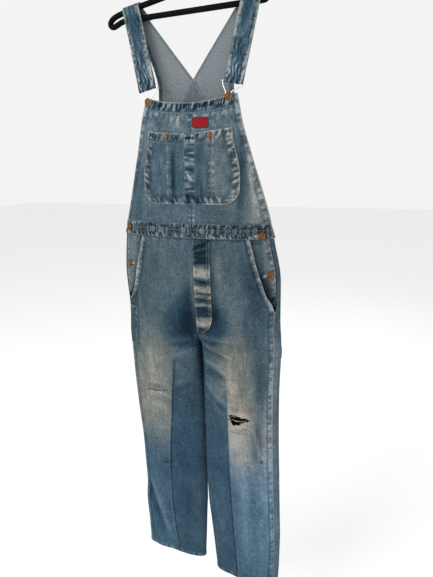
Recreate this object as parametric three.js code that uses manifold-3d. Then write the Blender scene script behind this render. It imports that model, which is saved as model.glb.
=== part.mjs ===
// Bib overalls of faded denim, hung on a tubular hanger.
// Millimetres, +Z up, the front faces -Y and +X is the viewer's right.
// The origin is the inside top of the hanger's hook, where a rail carries it.
// Garment heights are measured from the waist seam.
import * as THREE from "three";
import Module from "manifold-3d";
import { mergeVertices } from "three/addons/utils/BufferGeometryUtils.js";

const { Vector3 } = THREE;
const { clamp, degToRad, lerp, smoothstep } = THREE.MathUtils;

const HANG_DROP = 660; // rail to waist seam
const CLOTH = 1.8; // one thickness of denim
const STRAP_CLOTH = 2.4; // folded strap
const GAP = 0.3; // between pieces at a seam
const LAYER_GAP = 0.6; // between a panel and what is sewn on it

// Rows of a table as objects, with the columns' names.
function table(names, rows) {
  const keys = names.split(" ");
  return rows.map((row) => Object.fromEntries(keys.map((key, i) => [key, row[i]])));
}

// One row per section of the body: outline, crotch side, mid depth, share of a leg's width from its
// inner edge to its fullest part, front and back swell, roundness.
const BODY = table("z left right leftIn rightIn leftMid rightMid peak front back round", [
  [338, -121, 122, 6, 6, -20, -20, 0.12, 10, 10, 1],
  [280, -140, 131, 6, 6, -18, -18, 0.12, 15, 15, 0.9],
  [200, -161, 154, 6, 6, -13, -13, 0.12, 25, 25, 0.75],
  [100, -190, 183, 6, 6, -6, -6, 0.12, 38, 38, 0.6],
  [40, -207, 199, 6, 6, -2, -2, 0.12, 46, 44, 0.5],
  [0, -216, 205, 6, 6, 0, 0, 0.12, 50, 46, 0.46],
  [-110, -226, 223, 6, 6, 0, 0, 0.12, 52, 50, 0.44],
  [-210, -222, 223, 6, 6, 0, 0, 0.12, 46, 46, 0.43],
  [-280, -227, 227, 4.5, 7.5, 0, -2, 0.12, 41, 41, 0.42],
  [-410, -225, 225, 3, 9, 0, -8, 0.28, 37, 36, 0.42],
  [-520, -220, 226, 2.5, 10, 0, -12, 0.4, 34, 32, 0.42],
  [-690, -211, 230, 2, 11, 0, -16, 0.48, 30, 28, 0.42],
  [-800, -212, 233, 1, 15, 0, -18, 0.5, 27, 26, 0.42],
  [-870, -217, 235, -3, 22, 0, -19, 0.5, 26, 25, 0.42],
  [-960, -214, 234, -8, 31, 0, -21, 0.5, 24, 23, 0.42],
  [-1038, -213, 230, -13, 38, 0, -22, 0.5, 22, 22, 0.42],
]);
const CENTRE_SEAM = 6;
const HEM = -1038;
const FORK_TOP = -258; // the two halves begin to part
const FORK = -298; // the crotch
// Heights of the rows that the trouser panels share, so that their seams run side by side.
const TROUSER_ROWS = [
  -0.15, -35, -70, -110, -140, -152, -165, -175, -185, -215, -240, -258, -268, -278, -288, -298, -303,
  -309, -320, -338, -372, -414, -450, -480, -520, -560, -620, -690, -760, -838, -890, -933, -985, -1038,
];

// Upper back: outer edge on each side, depth at that edge and at the centre.
const UPPER_BACK = [
  { z: 0, out: 212, edge: 0.2, centre: 46 },
  { z: 60, out: 186, edge: 3, centre: 41 },
  { z: 120, out: 158, edge: 6, centre: 34 },
  { z: 180, out: 134, edge: 8, centre: 27 },
  { z: 240, out: 116, edge: 10, centre: 20 },
  { z: 300, out: 104, edge: 11, centre: 15 },
  { z: 360, out: 101, edge: 12, centre: 13 },
  { z: 450, out: 126, edge: 12, centre: 12 },
  { z: 520, out: 158, edge: 12, centre: 12 },
];
const BACK_CENTRE = -4;
const NECK_V = 380; // bottom of the V between the back straps
const NECK_SLOPE = 0.79; // how fast the V opens
const BACK_TOP = 520;
const BACK_ROWS = [520, 485, 450, 420, 395, 380, 355, 320, 280, 240, 200, 160, 120, 80, 40, 0.15];

// Large folds: a line on the front, how far it stands out and how broad it is.
const FOLDS = [
  { x0: 122, z0: 290, x1: 146, z1: 40, rise: -5, broad: 20 },
  { x0: -134, z0: 250, x1: -150, z1: 50, rise: -3.5, broad: 22 },
  { x0: -150, z0: -40, x1: -178, z1: -230, rise: 4, broad: 24 },
  { x0: -118, z0: -60, x1: -125, z1: -260, rise: -4, broad: 26 },
  { x0: 110, z0: -60, x1: 96, z1: -250, rise: 4, broad: 28 },
  { x0: 188, z0: -330, x1: 184, z1: -450, rise: -4, broad: 26 },
  { x0: 122, z0: -360, x1: 124, z1: -660, rise: 4, broad: 32 },
  { x0: -150, z0: -330, x1: -152, z1: -560, rise: 4, broad: 32 },
  { x0: -205, z0: -770, x1: -120, z1: -1020, rise: -5, broad: 30 },
  { x0: 170, z0: -760, x1: 182, z1: -960, rise: -4, broad: 30 },
];

// Slanted hip pockets: the edge of the front panel on each side.
const HIP_OPENING = [
  { z: 0, left: -147, right: 154 },
  { z: -70, left: -159, right: 172 },
  { z: -110, left: -168, right: 185 },
  { z: -140, left: -177, right: 194 },
  { z: -165, left: -193, right: 207 },
  { z: -185, left: -211, right: 213 },
];
const OPENING_END = -185;
const OPENING_STANDS_OFF = 3;
const FACING_END = -171;
// How far the outseam lies in from the outline.
const OUTSEAM = [
  { z: 0, left: 5, right: 5 },
  { z: -160, left: 6, right: 6 },
  { z: -240, left: 6, right: 13 },
  { z: -1038, left: 6, right: 12 },
];

// Mid-leg seam, which leaves the crotch on a slant.
const LEG_SEAM = [
  { z: -303, left: -18, right: 30 },
  { z: -320, left: -48, right: 66 },
  { z: -338, left: -69, right: 86 },
  { z: -414, left: -79, right: 89 },
  { z: -547, left: -92, right: 92 },
  { z: -690, left: -105, right: 93 },
  { z: -838, left: -108, right: 100 },
  { z: -933, left: -104, right: 106 },
  { z: -1038, left: -96, right: 113 },
];
const STEADY_TURN = 0.42; // where the columns of a panel stop following its inner edge
const SEAM_START = -303; // the slant leaves the crotch here
const INNER_START = -309; // top of the inner leg panels

const BIB_TOP = 338;
const BIB_SAG = 14; // the top edge hangs lower at the centre
const BIB_SAG_HALF = 112; // half the width that sags
const BIB_BAND = { deep: 26, half: 111, centre: 1, inset: 0.5 };
const WAISTBAND_TOP = 39;

const POCKET_GAP = 0.8;
const POCKET = {
  top: 264, sag: 10, bottom: 85, centre: -4, topHalf: 112, wideHalf: 131, wideAt: 150, corner: 38,
};
const FLY = { left: 8.5, right: 54, top: -2, bottom: -256, bend: -200, end: 16 };
const LABEL = { left: 10, right: 52, bottom: 265, top: 289, corner: 5, thick: 0.8 };
const RULE_POCKET = { start: 0.98, top: -205, bottom: -320, inset: 9, setAt: -260 };
const HAMMER_LOOP = { start: Math.PI / 2 + 0.15, end: Math.PI - 0.45, top: -288, bottom: -318, bow: 16 };
const BACK_PATCH = { below: 4, foot: 330, topHalf: 4, footHalf: 32 };

const KNEE_RIP = [
  [97, -487], [104, -481], [116, -482], [128, -485], [142, -487], [154, -492], [149, -497],
  [139, -499], [131, -502], [126, -509], [116, -510], [107, -512], [101, -503],
];

const HANGER_RADIUS = 6.5;
const HANGER_BAR = 525;
const HANGER_TOP = 572;
// The arms and their tips, from the top down to the bar: out from the middle and up.
const HANGER_RIGHT = [
  [28, 568], [100, 556], [155, 547], [172, 543], [183, 537.5], [187, 531.5], [183, 526.5],
  [174, HANGER_BAR], [120, HANGER_BAR],
];
const HANGER_LEFT = [
  [28, 568], [100, 556], [155, 547], [185, 541], [205, 535.5], [216.5, 528.5], [220.5, 521],
  [216.5, 515], [208.5, 514.5], [199, 518], [184, 523], [165, HANGER_BAR], [120, HANGER_BAR],
];
const HOOK_RADIUS = 4;
const HOOK_BEND = 22;

// Straps: where they cross the hanger's arm and how it tilts there, then their lower end, its hang and the tail.
const STRAP = {
  over: 155, arm: 547, armTilt: 0.155, half: 23, backX: 133, backHalf: 24,
  endX: 113, endZ: 362, endTilt: 0.2, hang: -23, tailTop: 452,
};
const HOOK_WIRE = 1.3;
const HOOK_CLEAR = 0.5; // between the wire and what it lies on
const HOOK_DROP = 31; // from the bar to the button
const BIB_BUTTON = { left: -109, right: 102, z: 331, head: 9, shank: 3.4, tall: 8.6 };
const SIDE_BUTTONS = [
  { name: "side_button_left_upper", x: -190, z: 20, lift: CLOTH + LAYER_GAP },
  { name: "side_button_left_lower", x: -199, z: -80, lift: -CLOTH - LAYER_GAP },
  { name: "side_button_right_upper", x: 181, z: 10, lift: CLOTH + LAYER_GAP },
  { name: "side_button_right_lower", x: 203, z: -88, lift: -CLOTH - LAYER_GAP },
];
const POCKET_RIVETS = { left: -62, right: 55, z: 247 };

const wasm = await Module();
wasm.setup();

// A smooth curve through one column of a table, without overshoot.
function column(table, name) {
  const rows = [...table].sort((a, b) => a.z - b.z);
  const slope = rows.slice(1).map((row, i) => (row[name] - rows[i][name]) / (row.z - rows[i].z));
  const tangent = rows.map((row, i) => {
    const before = slope[i - 1] ?? slope[i];
    const after = slope[i] ?? slope[i - 1];
    return before * after <= 0 ? 0 : (2 * before * after) / (before + after);
  });
  return (z) => {
    const last = rows.length - 1;
    const height = clamp(z, rows[0].z, rows[last].z);
    let i = 0;
    while (i < last - 1 && height > rows[i + 1].z) i += 1;
    const span = rows[i + 1].z - rows[i].z;
    const t = (height - rows[i].z) / span;
    const a = rows[i][name];
    const b = rows[i + 1][name];
    const bend = (t - 1) * tangent[i] * span + t * tangent[i + 1] * span;
    return a + (b - a) * t * t * (3 - 2 * t) + t * (t - 1) * bend;
  };
}

const body = {};
for (const name of Object.keys(BODY[0])) body[name] = column(BODY, name);
const upperBack = {};
for (const name of Object.keys(UPPER_BACK[0])) upperBack[name] = column(UPPER_BACK, name);
const opening = { left: column(HIP_OPENING, "left"), right: column(HIP_OPENING, "right") };
const inset = { left: column(OUTSEAM, "left"), right: column(OUTSEAM, "right") };
const legSeam = { left: column(LEG_SEAM, "left"), right: column(LEG_SEAM, "right") };

const sideName = (side) => (side < 0 ? "left" : "right");
const fork = (z) => (smoothstep(-z, -FORK_TOP, -FORK) * Math.PI) / 2;

// How far a point of the front stands out in the large folds.
function foldRise(x, z) {
  let rise = 0;
  for (const fold of FOLDS) {
    const run = new THREE.Vector2(fold.x1 - fold.x0, fold.z1 - fold.z0);
    const from = new THREE.Vector2(x - fold.x0, z - fold.z0);
    const along = clamp(from.dot(run) / run.lengthSq(), 0, 1);
    const away = from.sub(run.multiplyScalar(along)).length();
    rise += fold.rise * Math.exp(-0.5 * (away / fold.broad) ** 2);
  }
  return rise;
}

// A point of the ring at one height. The turn runs from the front's inner edge round the outseam to the back's.
// Each half is two quarter ovals: a narrow one at the crotch side and a wide one at the outseam.
function ringPoint(side, turn, z) {
  const name = sideName(side);
  const inner = body[`${name}In`](z);
  const tuck = Math.sin(fork(z));
  const peak = body.peak(z);
  const full = peak * tuck;
  const sine = Math.sin(turn);
  const share = sine < 0 ? full + peak * sine : full + (1 - full) * sine;
  const cosine = Math.cos(turn);
  const swell = Math.sign(cosine) * Math.abs(cosine) ** (2 * body.round(z));
  const depth = cosine >= 0 ? body.front(z) : body.back(z);
  const x = inner + (body[name](z) - inner) * share;
  const calm = Math.max(cosine, 0) ** 0.5 * smoothstep(Math.abs(x - inner), 4, 40);
  const rise = cosine > 0 ? foldRise(x, z) * calm : 0;
  return new Vector3(x, body[`${name}Mid`](z) - depth * swell - rise, z);
}

function withNormal(point, side, a, b) {
  const da = 0.004;
  const db = 0.5;
  const across = point(a + da, b).sub(point(a - da, b));
  const up = point(a, b + db).sub(point(a, b - db));
  return { point: point(a, b), normal: across.cross(up).multiplyScalar(side).normalize() };
}

const onRing = (side, turn, z) => withNormal((a, b) => ringPoint(side, a, b), side, turn, z);

// The turn at which the front of one half reaches a given x.
function turnAt(side, x, z) {
  const name = sideName(side);
  const inner = body[`${name}In`](z);
  const tuck = Math.sin(fork(z));
  const peak = body.peak(z);
  const full = peak * tuck;
  const share = (x - inner) / (body[name](z) - inner);
  const sine = share < full ? (share - full) / peak : (share - full) / (1 - full);
  return Math.asin(clamp(sine, -1, 1));
}

const frontAt = (x, z) => {
  const side = x < body.leftIn(z) ? -1 : 1;
  return onRing(side, turnAt(side, x, z), z);
};

function upperBackPoint(x, z) {
  const u = clamp((x - BACK_CENTRE) / (upperBack.out(z) + 8), -1, 1);
  const edge = upperBack.edge(z);
  return new Vector3(x, edge + (upperBack.centre(z) - edge) * (1 - u * u) ** 0.6, z);
}

function upperBackAt(x, z) {
  const step = 0.5;
  const across = upperBackPoint(x + step, z).sub(upperBackPoint(x - step, z));
  const up = upperBackPoint(x, z + step).sub(upperBackPoint(x, z - step));
  return { point: upperBackPoint(x, z), normal: up.cross(across).normalize() };
}

function closedGeometry(positions, indices) {
  const geometry = new THREE.BufferGeometry();
  geometry.setAttribute("position", new THREE.Float32BufferAttribute(positions, 3));
  geometry.setIndex(indices);
  return geometry;
}

// A wall between two offsets from a surface; surface(row, column) takes shares from 0 to 1.
function wall(rows, columns, surface, inside, outside) {
  const positions = [];
  const indices = [];
  const stride = columns + 1;
  const layer = (rows + 1) * stride;
  for (const offset of [outside, inside]) {
    for (let i = 0; i <= rows; i += 1) {
      for (let j = 0; j <= columns; j += 1) {
        const { point, normal } = surface(i / rows, j / columns);
        const far = typeof offset === "function" ? offset(i / rows, j / columns) : offset;
        const at = point.clone().addScaledVector(normal, far);
        positions.push(at.x, at.y, at.z);
      }
    }
  }
  const quad = (a, b, c, d) => indices.push(a, b, c, a, c, d);
  for (let i = 0; i < rows; i += 1) {
    for (let j = 0; j < columns; j += 1) {
      const a = i * stride + j;
      quad(a, a + 1, a + 1 + stride, a + stride);
      quad(layer + a, layer + a + stride, layer + a + 1 + stride, layer + a + 1);
    }
  }
  for (let j = 0; j < columns; j += 1) {
    const end = rows * stride + j;
    quad(j, layer + j, layer + j + 1, j + 1);
    quad(end, end + 1, layer + end + 1, layer + end);
  }
  for (let i = 0; i < rows; i += 1) {
    const a = i * stride;
    const b = a + columns;
    quad(a, a + stride, layer + a + stride, layer + a);
    quad(b, layer + b, layer + b + stride, b + stride);
  }
  return facingOut(closedGeometry(positions, indices));
}

// Turns a closed surface right side out.
function facingOut(geometry) {
  const position = geometry.getAttribute("position");
  const index = geometry.getIndex();
  const corner = [new Vector3(), new Vector3(), new Vector3()];
  let volume = 0;
  for (let i = 0; i < index.count; i += 3) {
    corner.forEach((v, k) => v.fromBufferAttribute(position, index.getX(i + k)));
    volume += corner[0].dot(corner[1].clone().cross(corner[2]));
  }
  if (volume < 0) {
    for (let i = 0; i < index.count; i += 3) {
      const first = index.getX(i);
      index.setX(i, index.getX(i + 1));
      index.setX(i + 1, first);
    }
  }
  return geometry;
}

const DENIM = { colour: 0x6f7f9a, roughness: 0.95, metalness: 0 };
const PALE_DENIM = { colour: 0x8d97a6, roughness: 0.95, metalness: 0 };
const RED_CLOTH = { colour: 0x9a2a33, roughness: 0.85, metalness: 0 };
const COPPER = { colour: 0x8a6248, roughness: 0.4, metalness: 1 };
const NICKEL = { colour: 0xcfcfcb, roughness: 0.25, metalness: 1 };
const BLACK_PLASTIC = { colour: 0x0c0c0d, roughness: 0.35, metalness: 0 };

const overalls = new THREE.Group();
overalls.name = "overalls";
const garment = new THREE.Group();
garment.position.z = -HANG_DROP;
overalls.add(garment);

function add(name, geometry, finish) {
  const { colour, roughness, metalness } = finish;
  const mesh = new THREE.Mesh(geometry, new THREE.MeshStandardMaterial({ color: colour, roughness, metalness }));
  mesh.name = name;
  garment.add(mesh);
  return mesh;
}

// The height of a row, by its share of the list.
const rowAt = (heights) => (share) => heights[Math.round(share * (heights.length - 1))];

// Bib halves, from the centre seam to the armhole edge.
const bibTop = (x) => BIB_TOP - BIB_SAG * Math.max(0, 1 - ((x - CENTRE_SEAM) / BIB_SAG_HALF) ** 2);
function bibPanel(side) {
  const out = side < 0 ? body.left : body.right;
  return wall(
    12,
    12,
    (v, u) => {
      const nominal = lerp(BIB_TOP, GAP / 2, v);
      const seam = CENTRE_SEAM + side * (GAP / 2);
      const x = lerp(seam, out(nominal), Math.sin((u * Math.PI) / 2));
      const drop = (BIB_TOP - bibTop(x)) * smoothstep(nominal, 150, BIB_TOP);
      const z = nominal - drop;
      const turn = Math.min(turnAt(side, x, z), 1.52);
      return onRing(side, turn, z);
    },
    -CLOTH,
    0,
  );
}

const outseamAt = (side, z) => body[sideName(side)](z) - side * inset[sideName(side)](z);

// Outer front panel, waist to hem: from the centre seam, crotch slant and mid-leg seam to the pocket edge
// and outseam.
function frontEdges(side, z) {
  const name = sideName(side);
  const outseam = outseamAt(side, z);
  const outer = z > OPENING_END ? side * Math.min(side * opening[name](z), side * outseam) : outseam;
  return { seam: legSeam[name](z), outer };
}

function frontOuter(side) {
  const row = rowAt(TROUSER_ROWS);
  return wall(
    TROUSER_ROWS.length - 1,
    8,
    (v, u) => {
      const z = row(v);
      const { seam, outer } = frontEdges(side, z);
      const start = z > SEAM_START ? 0.0008 - fork(z) : turnAt(side, seam + side * (GAP / 2), z);
      const end = turnAt(side, outer - side * (GAP / 2), z);
      const turn = u < 0.25 ? lerp(start, STEADY_TURN, u / 0.25) : lerp(STEADY_TURN, end, (u - 0.25) / 0.75);
      const found = onRing(side, turn, z);
      const inOpening = smoothstep(-z, 20, 110) * (1 - smoothstep(-z, 135, 182));
      found.point.addScaledVector(found.normal, OPENING_STANDS_OFF * inOpening * u ** 3);
      return found;
    },
    -CLOTH,
    0,
  );
}

function frontInner(side) {
  const heights = TROUSER_ROWS.filter((z) => z <= INNER_START);
  const row = rowAt(heights);
  return wall(
    heights.length - 1,
    4,
    (v, u) => {
      const z = row(v);
      const seam = legSeam[sideName(side)](z);
      const start = -Math.PI / 2 + 0.02;
      const end = turnAt(side, seam - side * (GAP / 2), z);
      return onRing(side, lerp(start, end, u), z);
    },
    -CLOTH,
    0,
  );
}

function backLeg(side) {
  const row = rowAt(TROUSER_ROWS);
  const steady = Math.PI - STEADY_TURN;
  return wall(
    TROUSER_ROWS.length - 1,
    8,
    (v, u) => {
      const z = row(v);
      const start = turnAt(side, outseamAt(side, z) + side * (GAP / 2), z);
      const end = Math.PI + fork(z) - (fork(z) > 0.01 ? 0.02 : 0.0008);
      return onRing(side, u < 0.75 ? lerp(start, steady, u / 0.75) : lerp(steady, end, (u - 0.75) / 0.25), z);
    },
    -CLOTH,
    0,
  );
}

function hipFacing(side) {
  const name = sideName(side);
  const tuck = 20;
  return wall(
    8,
    5,
    (v, u) => {
      const z = lerp(-GAP, FACING_END, v);
      const start = turnAt(side, opening[name](z) - side * tuck, z);
      const end = turnAt(side, outseamAt(side, z) - side, z);
      return onRing(side, lerp(start, end, u), z);
    },
    -2 * CLOTH - LAYER_GAP,
    -CLOTH - LAYER_GAP,
  );
}

function upperBackPanel(side) {
  const row = rowAt(BACK_ROWS);
  return wall(
    BACK_ROWS.length - 1,
    7,
    (v, u) => {
      const z = row(v);
      const opens = Math.max(0, z - NECK_V) * NECK_SLOPE;
      const inner = BACK_CENTRE + side * (GAP / 2 + opens);
      const outer = side * upperBack.out(z) + (side < 0 ? -2 : -6) * smoothstep(-z, -60, 0);
      return upperBackAt(lerp(inner, outer, u), z);
    },
    -CLOTH,
    0,
  );
}

// The reinforcement sewn inside the back where the straps part.
function backPatch() {
  const { below, foot, topHalf, footHalf } = BACK_PATCH;
  return wall(
    5,
    8,
    (v, u) => {
      const z = lerp(NECK_V - below, foot, v);
      const half = lerp(topHalf, footHalf, v);
      return upperBackAt(BACK_CENTRE + lerp(-half, half, u), z);
    },
    -2 * CLOTH - LAYER_GAP,
    -CLOTH - LAYER_GAP,
  );
}

function bibBand() {
  return wall(
    2,
    20,
    (v, u) => {
      const { deep, half, centre, inset: below } = BIB_BAND;
      const x = centre + lerp(-half, half, u);
      return frontAt(x, bibTop(x) - below - v * deep);
    },
    LAYER_GAP,
    LAYER_GAP + CLOTH,
  );
}

function bibPocket() {
  const { top, sag, bottom, centre, topHalf, wideHalf, wideAt, corner } = POCKET;
  return wall(
    12,
    16,
    (v, u) => {
      const nominal = lerp(top, bottom, v ** 0.8);
      const widen = smoothstep(-nominal, -top, -wideAt);
      const rise = Math.min(nominal - bottom, corner);
      const cut = corner - Math.sqrt(corner ** 2 - (corner - rise) ** 2);
      const half = lerp(topHalf, wideHalf, widen) - cut;
      const share = 2 * u - 1;
      const drop = sag * (1 - share ** 2) * smoothstep(nominal, wideAt, top);
      return frontAt(centre + share * half, nominal - drop);
    },
    POCKET_GAP,
    POCKET_GAP + CLOTH,
  );
}

function waistband(side) {
  return wall(
    3,
    16,
    (v, u) => {
      const z = lerp(WAISTBAND_TOP, 0.6, v);
      const turn = lerp(0.0015, 1.4, u);
      return onRing(side, turn, z);
    },
    LAYER_GAP,
    LAYER_GAP + CLOTH,
  );
}

function flyPlacket() {
  const { left, right, top, bottom, bend, end } = FLY;
  return wall(
    16,
    4,
    (v, u) => {
      const z = lerp(top, bottom, v);
      const into = clamp((bend - z) / (bend - bottom), 0, 1);
      const edge = end + (right - end) * Math.sqrt(Math.max(0, 1 - into ** 2));
      return frontAt(lerp(left, edge, u), z);
    },
    LAYER_GAP,
    LAYER_GAP + CLOTH,
  );
}

function labelPatch() {
  const { left, right, bottom, top, corner } = LABEL;
  return wall(
    6,
    4,
    (v, u) => {
      const z = lerp(top, bottom, v);
      const rise = Math.min(top - z, z - bottom, corner);
      const cut = corner - Math.sqrt(corner ** 2 - (corner - rise) ** 2);
      return frontAt(lerp(left + cut, right - cut, u), z);
    },
    LAYER_GAP,
    LAYER_GAP + LABEL.thick,
  );
}

// The narrow tool pocket beside one outseam.
function rulePocket() {
  const { start, top, bottom, inset: fromOutline, setAt } = RULE_POCKET;
  const end = turnAt(-1, body.left(setAt) + fromOutline, setAt);
  return wall(
    8,
    6,
    (v, u) => onRing(-1, lerp(start, end, u), lerp(top, bottom, v)),
    LAYER_GAP,
    LAYER_GAP + CLOTH,
  );
}

// A strap across the back of the other leg, bowed out between its ends.
function hammerLoop() {
  return wall(
    2,
    14,
    (v, u) => {
      const { start, end, top, bottom, bow } = HAMMER_LOOP;
      const found = onRing(1, lerp(start, end, u), lerp(top, bottom, v));
      found.point.addScaledVector(found.normal, bow * Math.sin(Math.PI * u) ** 2);
      return found;
    },
    LAYER_GAP,
    LAYER_GAP + CLOTH,
  );
}

// The centre line of a strap: up the back, over the hanger, down the front, round the hook's bar and up again.
function strapStations(side) {
  const { over, arm, armTilt, half, backX, backHalf, endX, endZ, endTilt, hang, tailTop } = STRAP;
  const mid = STRAP_CLOTH / 2;
  const bend = HANGER_RADIUS + LAYER_GAP + mid;
  const stations = [];
  const put = (x, y, z, tilt, width) => stations.push({ x: side * x, y, z, tilt: -side * tilt, half: width });
  const backStart = BACK_TOP + GAP;
  const backY = upperBack.edge(BACK_TOP) - CLOTH / 2;
  for (const share of [0, 0.35, 0.7]) {
    const x = lerp(backX, over, share);
    put(x, lerp(backY, bend, share), lerp(backStart, arm, share), armTilt * share, lerp(backHalf, half, share));
  }
  for (let k = 0; k <= 8; k += 1) {
    const angle = (k / 8) * Math.PI;
    put(over, bend * Math.cos(angle), arm + bend * Math.sin(angle), armTilt, half);
  }
  const bar = HOOK_WIRE + GAP + mid;
  for (const share of [0.08, 0.2, 0.35, 0.5, 0.65, 0.8, 0.92]) {
    const tilt = lerp(armTilt, endTilt, share);
    put(lerp(over, endX, share), lerp(-bend, hang + bar, share), lerp(arm, endZ, share), tilt, half);
  }
  for (let k = 0; k <= 4; k += 1) {
    const angle = (k / 4) * Math.PI;
    put(endX, hang + bar * Math.cos(angle), endZ - bar * Math.sin(angle), endTilt, half);
  }
  const front = STRAP_CLOTH + LAYER_GAP;
  for (const share of [0.12, 0.28, 0.5, 0.75, 1]) {
    const z = lerp(endZ, tailTop, share);
    const back = (arm - z) / (arm - endZ);
    const closed = smoothstep(share, 0, 0.28);
    const main = lerp(-bend, hang + bar, back);
    const y = main - lerp(2 * bar, front, closed);
    put(lerp(over, endX, back), y, z, lerp(armTilt, endTilt, back), half);
  }
  return stations;
}

function strap(side) {
  const stations = strapStations(side);
  const centre = stations.map((s) => new Vector3(s.x, s.y, s.z));
  const last = stations.length - 1;
  const surface = (v, u) => {
    const i = Math.round(v * last);
    const station = stations[i];
    const width = new Vector3(1, 0, station.tilt).normalize();
    const along = centre[Math.min(i + 1, last)].clone().sub(centre[Math.max(i - 1, 0)]).normalize();
    const normal = width.clone().cross(along).normalize();
    return { point: centre[i].clone().addScaledVector(width, station.half * (2 * u - 1)), normal };
  };
  return wall(last, 3, surface, -STRAP_CLOTH / 2, STRAP_CLOTH / 2);
}

// The wire hook: its bar lies in the strap's turn and its narrow end goes round the button's shank.
function strapHook(side) {
  const { endX, endZ, endTilt, hang } = STRAP;
  const button = BIB_BUTTON[sideName(side)];
  const neck = HOOK_WIRE + HOOK_CLEAR + BIB_BUTTON.shank;
  const stand = LAYER_GAP + CLOTH + HOOK_CLEAR + HOOK_WIRE;
  const tilt = -side * endTilt;
  const half = [
    [25, 0], [26.5, -3], [22, -10], [12, -17], [neck + 1.2, -24], [neck, -HOOK_DROP], [neck * 0.7, -36],
  ];
  const mirrored = half.map(([p, q]) => [-p, q]).reverse();
  const outline = [[0, 0], ...half, [0, -38], ...mirrored];
  const points = outline.map(([p, q]) => {
    const level = smoothstep(clamp(-q / HOOK_DROP, 0, 1), 0.1, 0.8);
    const x = lerp(side * endX, button, level) + p;
    const seat = frontAt(button + p, BIB_BUTTON.z + HOOK_DROP + q).point.y - stand;
    const y = lerp(hang, seat, level);
    return new Vector3(x, y, endZ + q + p * tilt * (1 - level) * 0.98);
  });
  const path = new THREE.CatmullRomCurve3(points, true, "centripetal");
  return mergeVertices(positionsOnly(new THREE.TubeGeometry(path, 48, HOOK_WIRE, 6, true)), 1e-3);
}

function positionsOnly(geometry) {
  const bare = new THREE.BufferGeometry();
  bare.setAttribute("position", geometry.getAttribute("position").clone());
  if (geometry.getIndex()) bare.setIndex(geometry.getIndex().clone());
  return bare;
}

// A turned metal button or rivet, set on a surface along its normal.
function turned(profile, seat, lift) {
  const points = profile.map(([r, h]) => new THREE.Vector2(r, h));
  const geometry = mergeVertices(positionsOnly(new THREE.LatheGeometry(points, 12)), 1e-3);
  const stand = new THREE.Quaternion().setFromUnitVectors(new Vector3(0, 1, 0), seat.normal);
  geometry.applyQuaternion(stand);
  const at = seat.point.clone().addScaledVector(seat.normal, lift + GAP);
  geometry.translate(at.x, at.y, at.z);
  return geometry;
}

function bibButton(side) {
  const { head, shank, tall, z } = BIB_BUTTON;
  const under = 2 * (HOOK_CLEAR + HOOK_WIRE) + HOOK_CLEAR;
  const profile = [
    [0, 0], [shank, 0], [shank, under], [head - 1, under], [head, under + 1], [head, under + 2],
    [head - 1.5, under + 2.8], [head - 3, tall - 3], [0, tall - 2.2],
  ];
  return turned(profile, frontAt(BIB_BUTTON[sideName(side)], z), LAYER_GAP + CLOTH);
}

const SIDE_PROFILE = [[0, 0], [5.5, 0], [5.5, 1.2], [8.5, 1.4], [9, 2.6], [7.6, 3.6], [6, 3.2], [0, 3.8]];
const RIVET_PROFILE = [[0, 0], [6.4, 0], [7, 1], [5, 2.1], [0, 2.4]];

function hangerFrame() {
  const right = HANGER_RIGHT.map(([x, z]) => new Vector3(x, 0, z));
  const left = HANGER_LEFT.map(([x, z]) => new Vector3(-x, 0, z)).reverse();
  const loop = [new Vector3(0, 0, HANGER_TOP), ...right, new Vector3(0, 0, HANGER_BAR), ...left];
  const path = new THREE.CatmullRomCurve3(loop, true, "centripetal");
  return mergeVertices(positionsOnly(new THREE.TubeGeometry(path, 140, HANGER_RADIUS, 8, true)), 1e-3);
}

function hangerHook() {
  const middle = HANG_DROP - (HOOK_BEND - HOOK_RADIUS);
  const foot = HANGER_TOP + HANGER_RADIUS + GAP;
  const points = [
    new Vector3(0, 0, foot),
    new Vector3(0, 0, foot + 18),
    new Vector3(3, 0, middle - HOOK_BEND - 6),
  ];
  for (const degrees of [-55, -25, 10, 50, 90, 130, 170, 200]) {
    const angle = degToRad(degrees);
    points.push(new Vector3(HOOK_BEND * Math.cos(angle), 0, middle + HOOK_BEND * Math.sin(angle)));
  }
  const path = new THREE.CatmullRomCurve3(points, false, "centripetal");
  const round = new THREE.Shape().absarc(0, 0, HOOK_RADIUS, 0, 2 * Math.PI, false);
  const geometry = new THREE.ExtrudeGeometry(round, { steps: 30, extrudePath: path, curveSegments: 4 });
  return mergeVertices(positionsOnly(geometry), 1e-3);
}

function toManifold(geometry) {
  const merged = mergeVertices(positionsOnly(geometry), 1e-4);
  return new wasm.Manifold(
    new wasm.Mesh({
      numProp: 3,
      vertProperties: new Float32Array(merged.getAttribute("position").array),
      triVerts: new Uint32Array(merged.getIndex().array),
    }),
  );
}

function fromManifold(solid) {
  const mesh = solid.getMesh();
  return closedGeometry(Array.from(mesh.vertProperties), Array.from(mesh.triVerts));
}

// The knee rip, cut straight through the front of one leg.
function ripCutter() {
  const outline = new THREE.Shape(KNEE_RIP.map(([x, z]) => new THREE.Vector2(x, z)));
  const frontOnly = { depth: 40, y: -24 };
  const geometry = new THREE.ExtrudeGeometry(outline, { depth: frontOnly.depth, bevelEnabled: false });
  geometry.rotateX(Math.PI / 2);
  geometry.translate(0, frontOnly.y, 0);
  return geometry;
}

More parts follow.
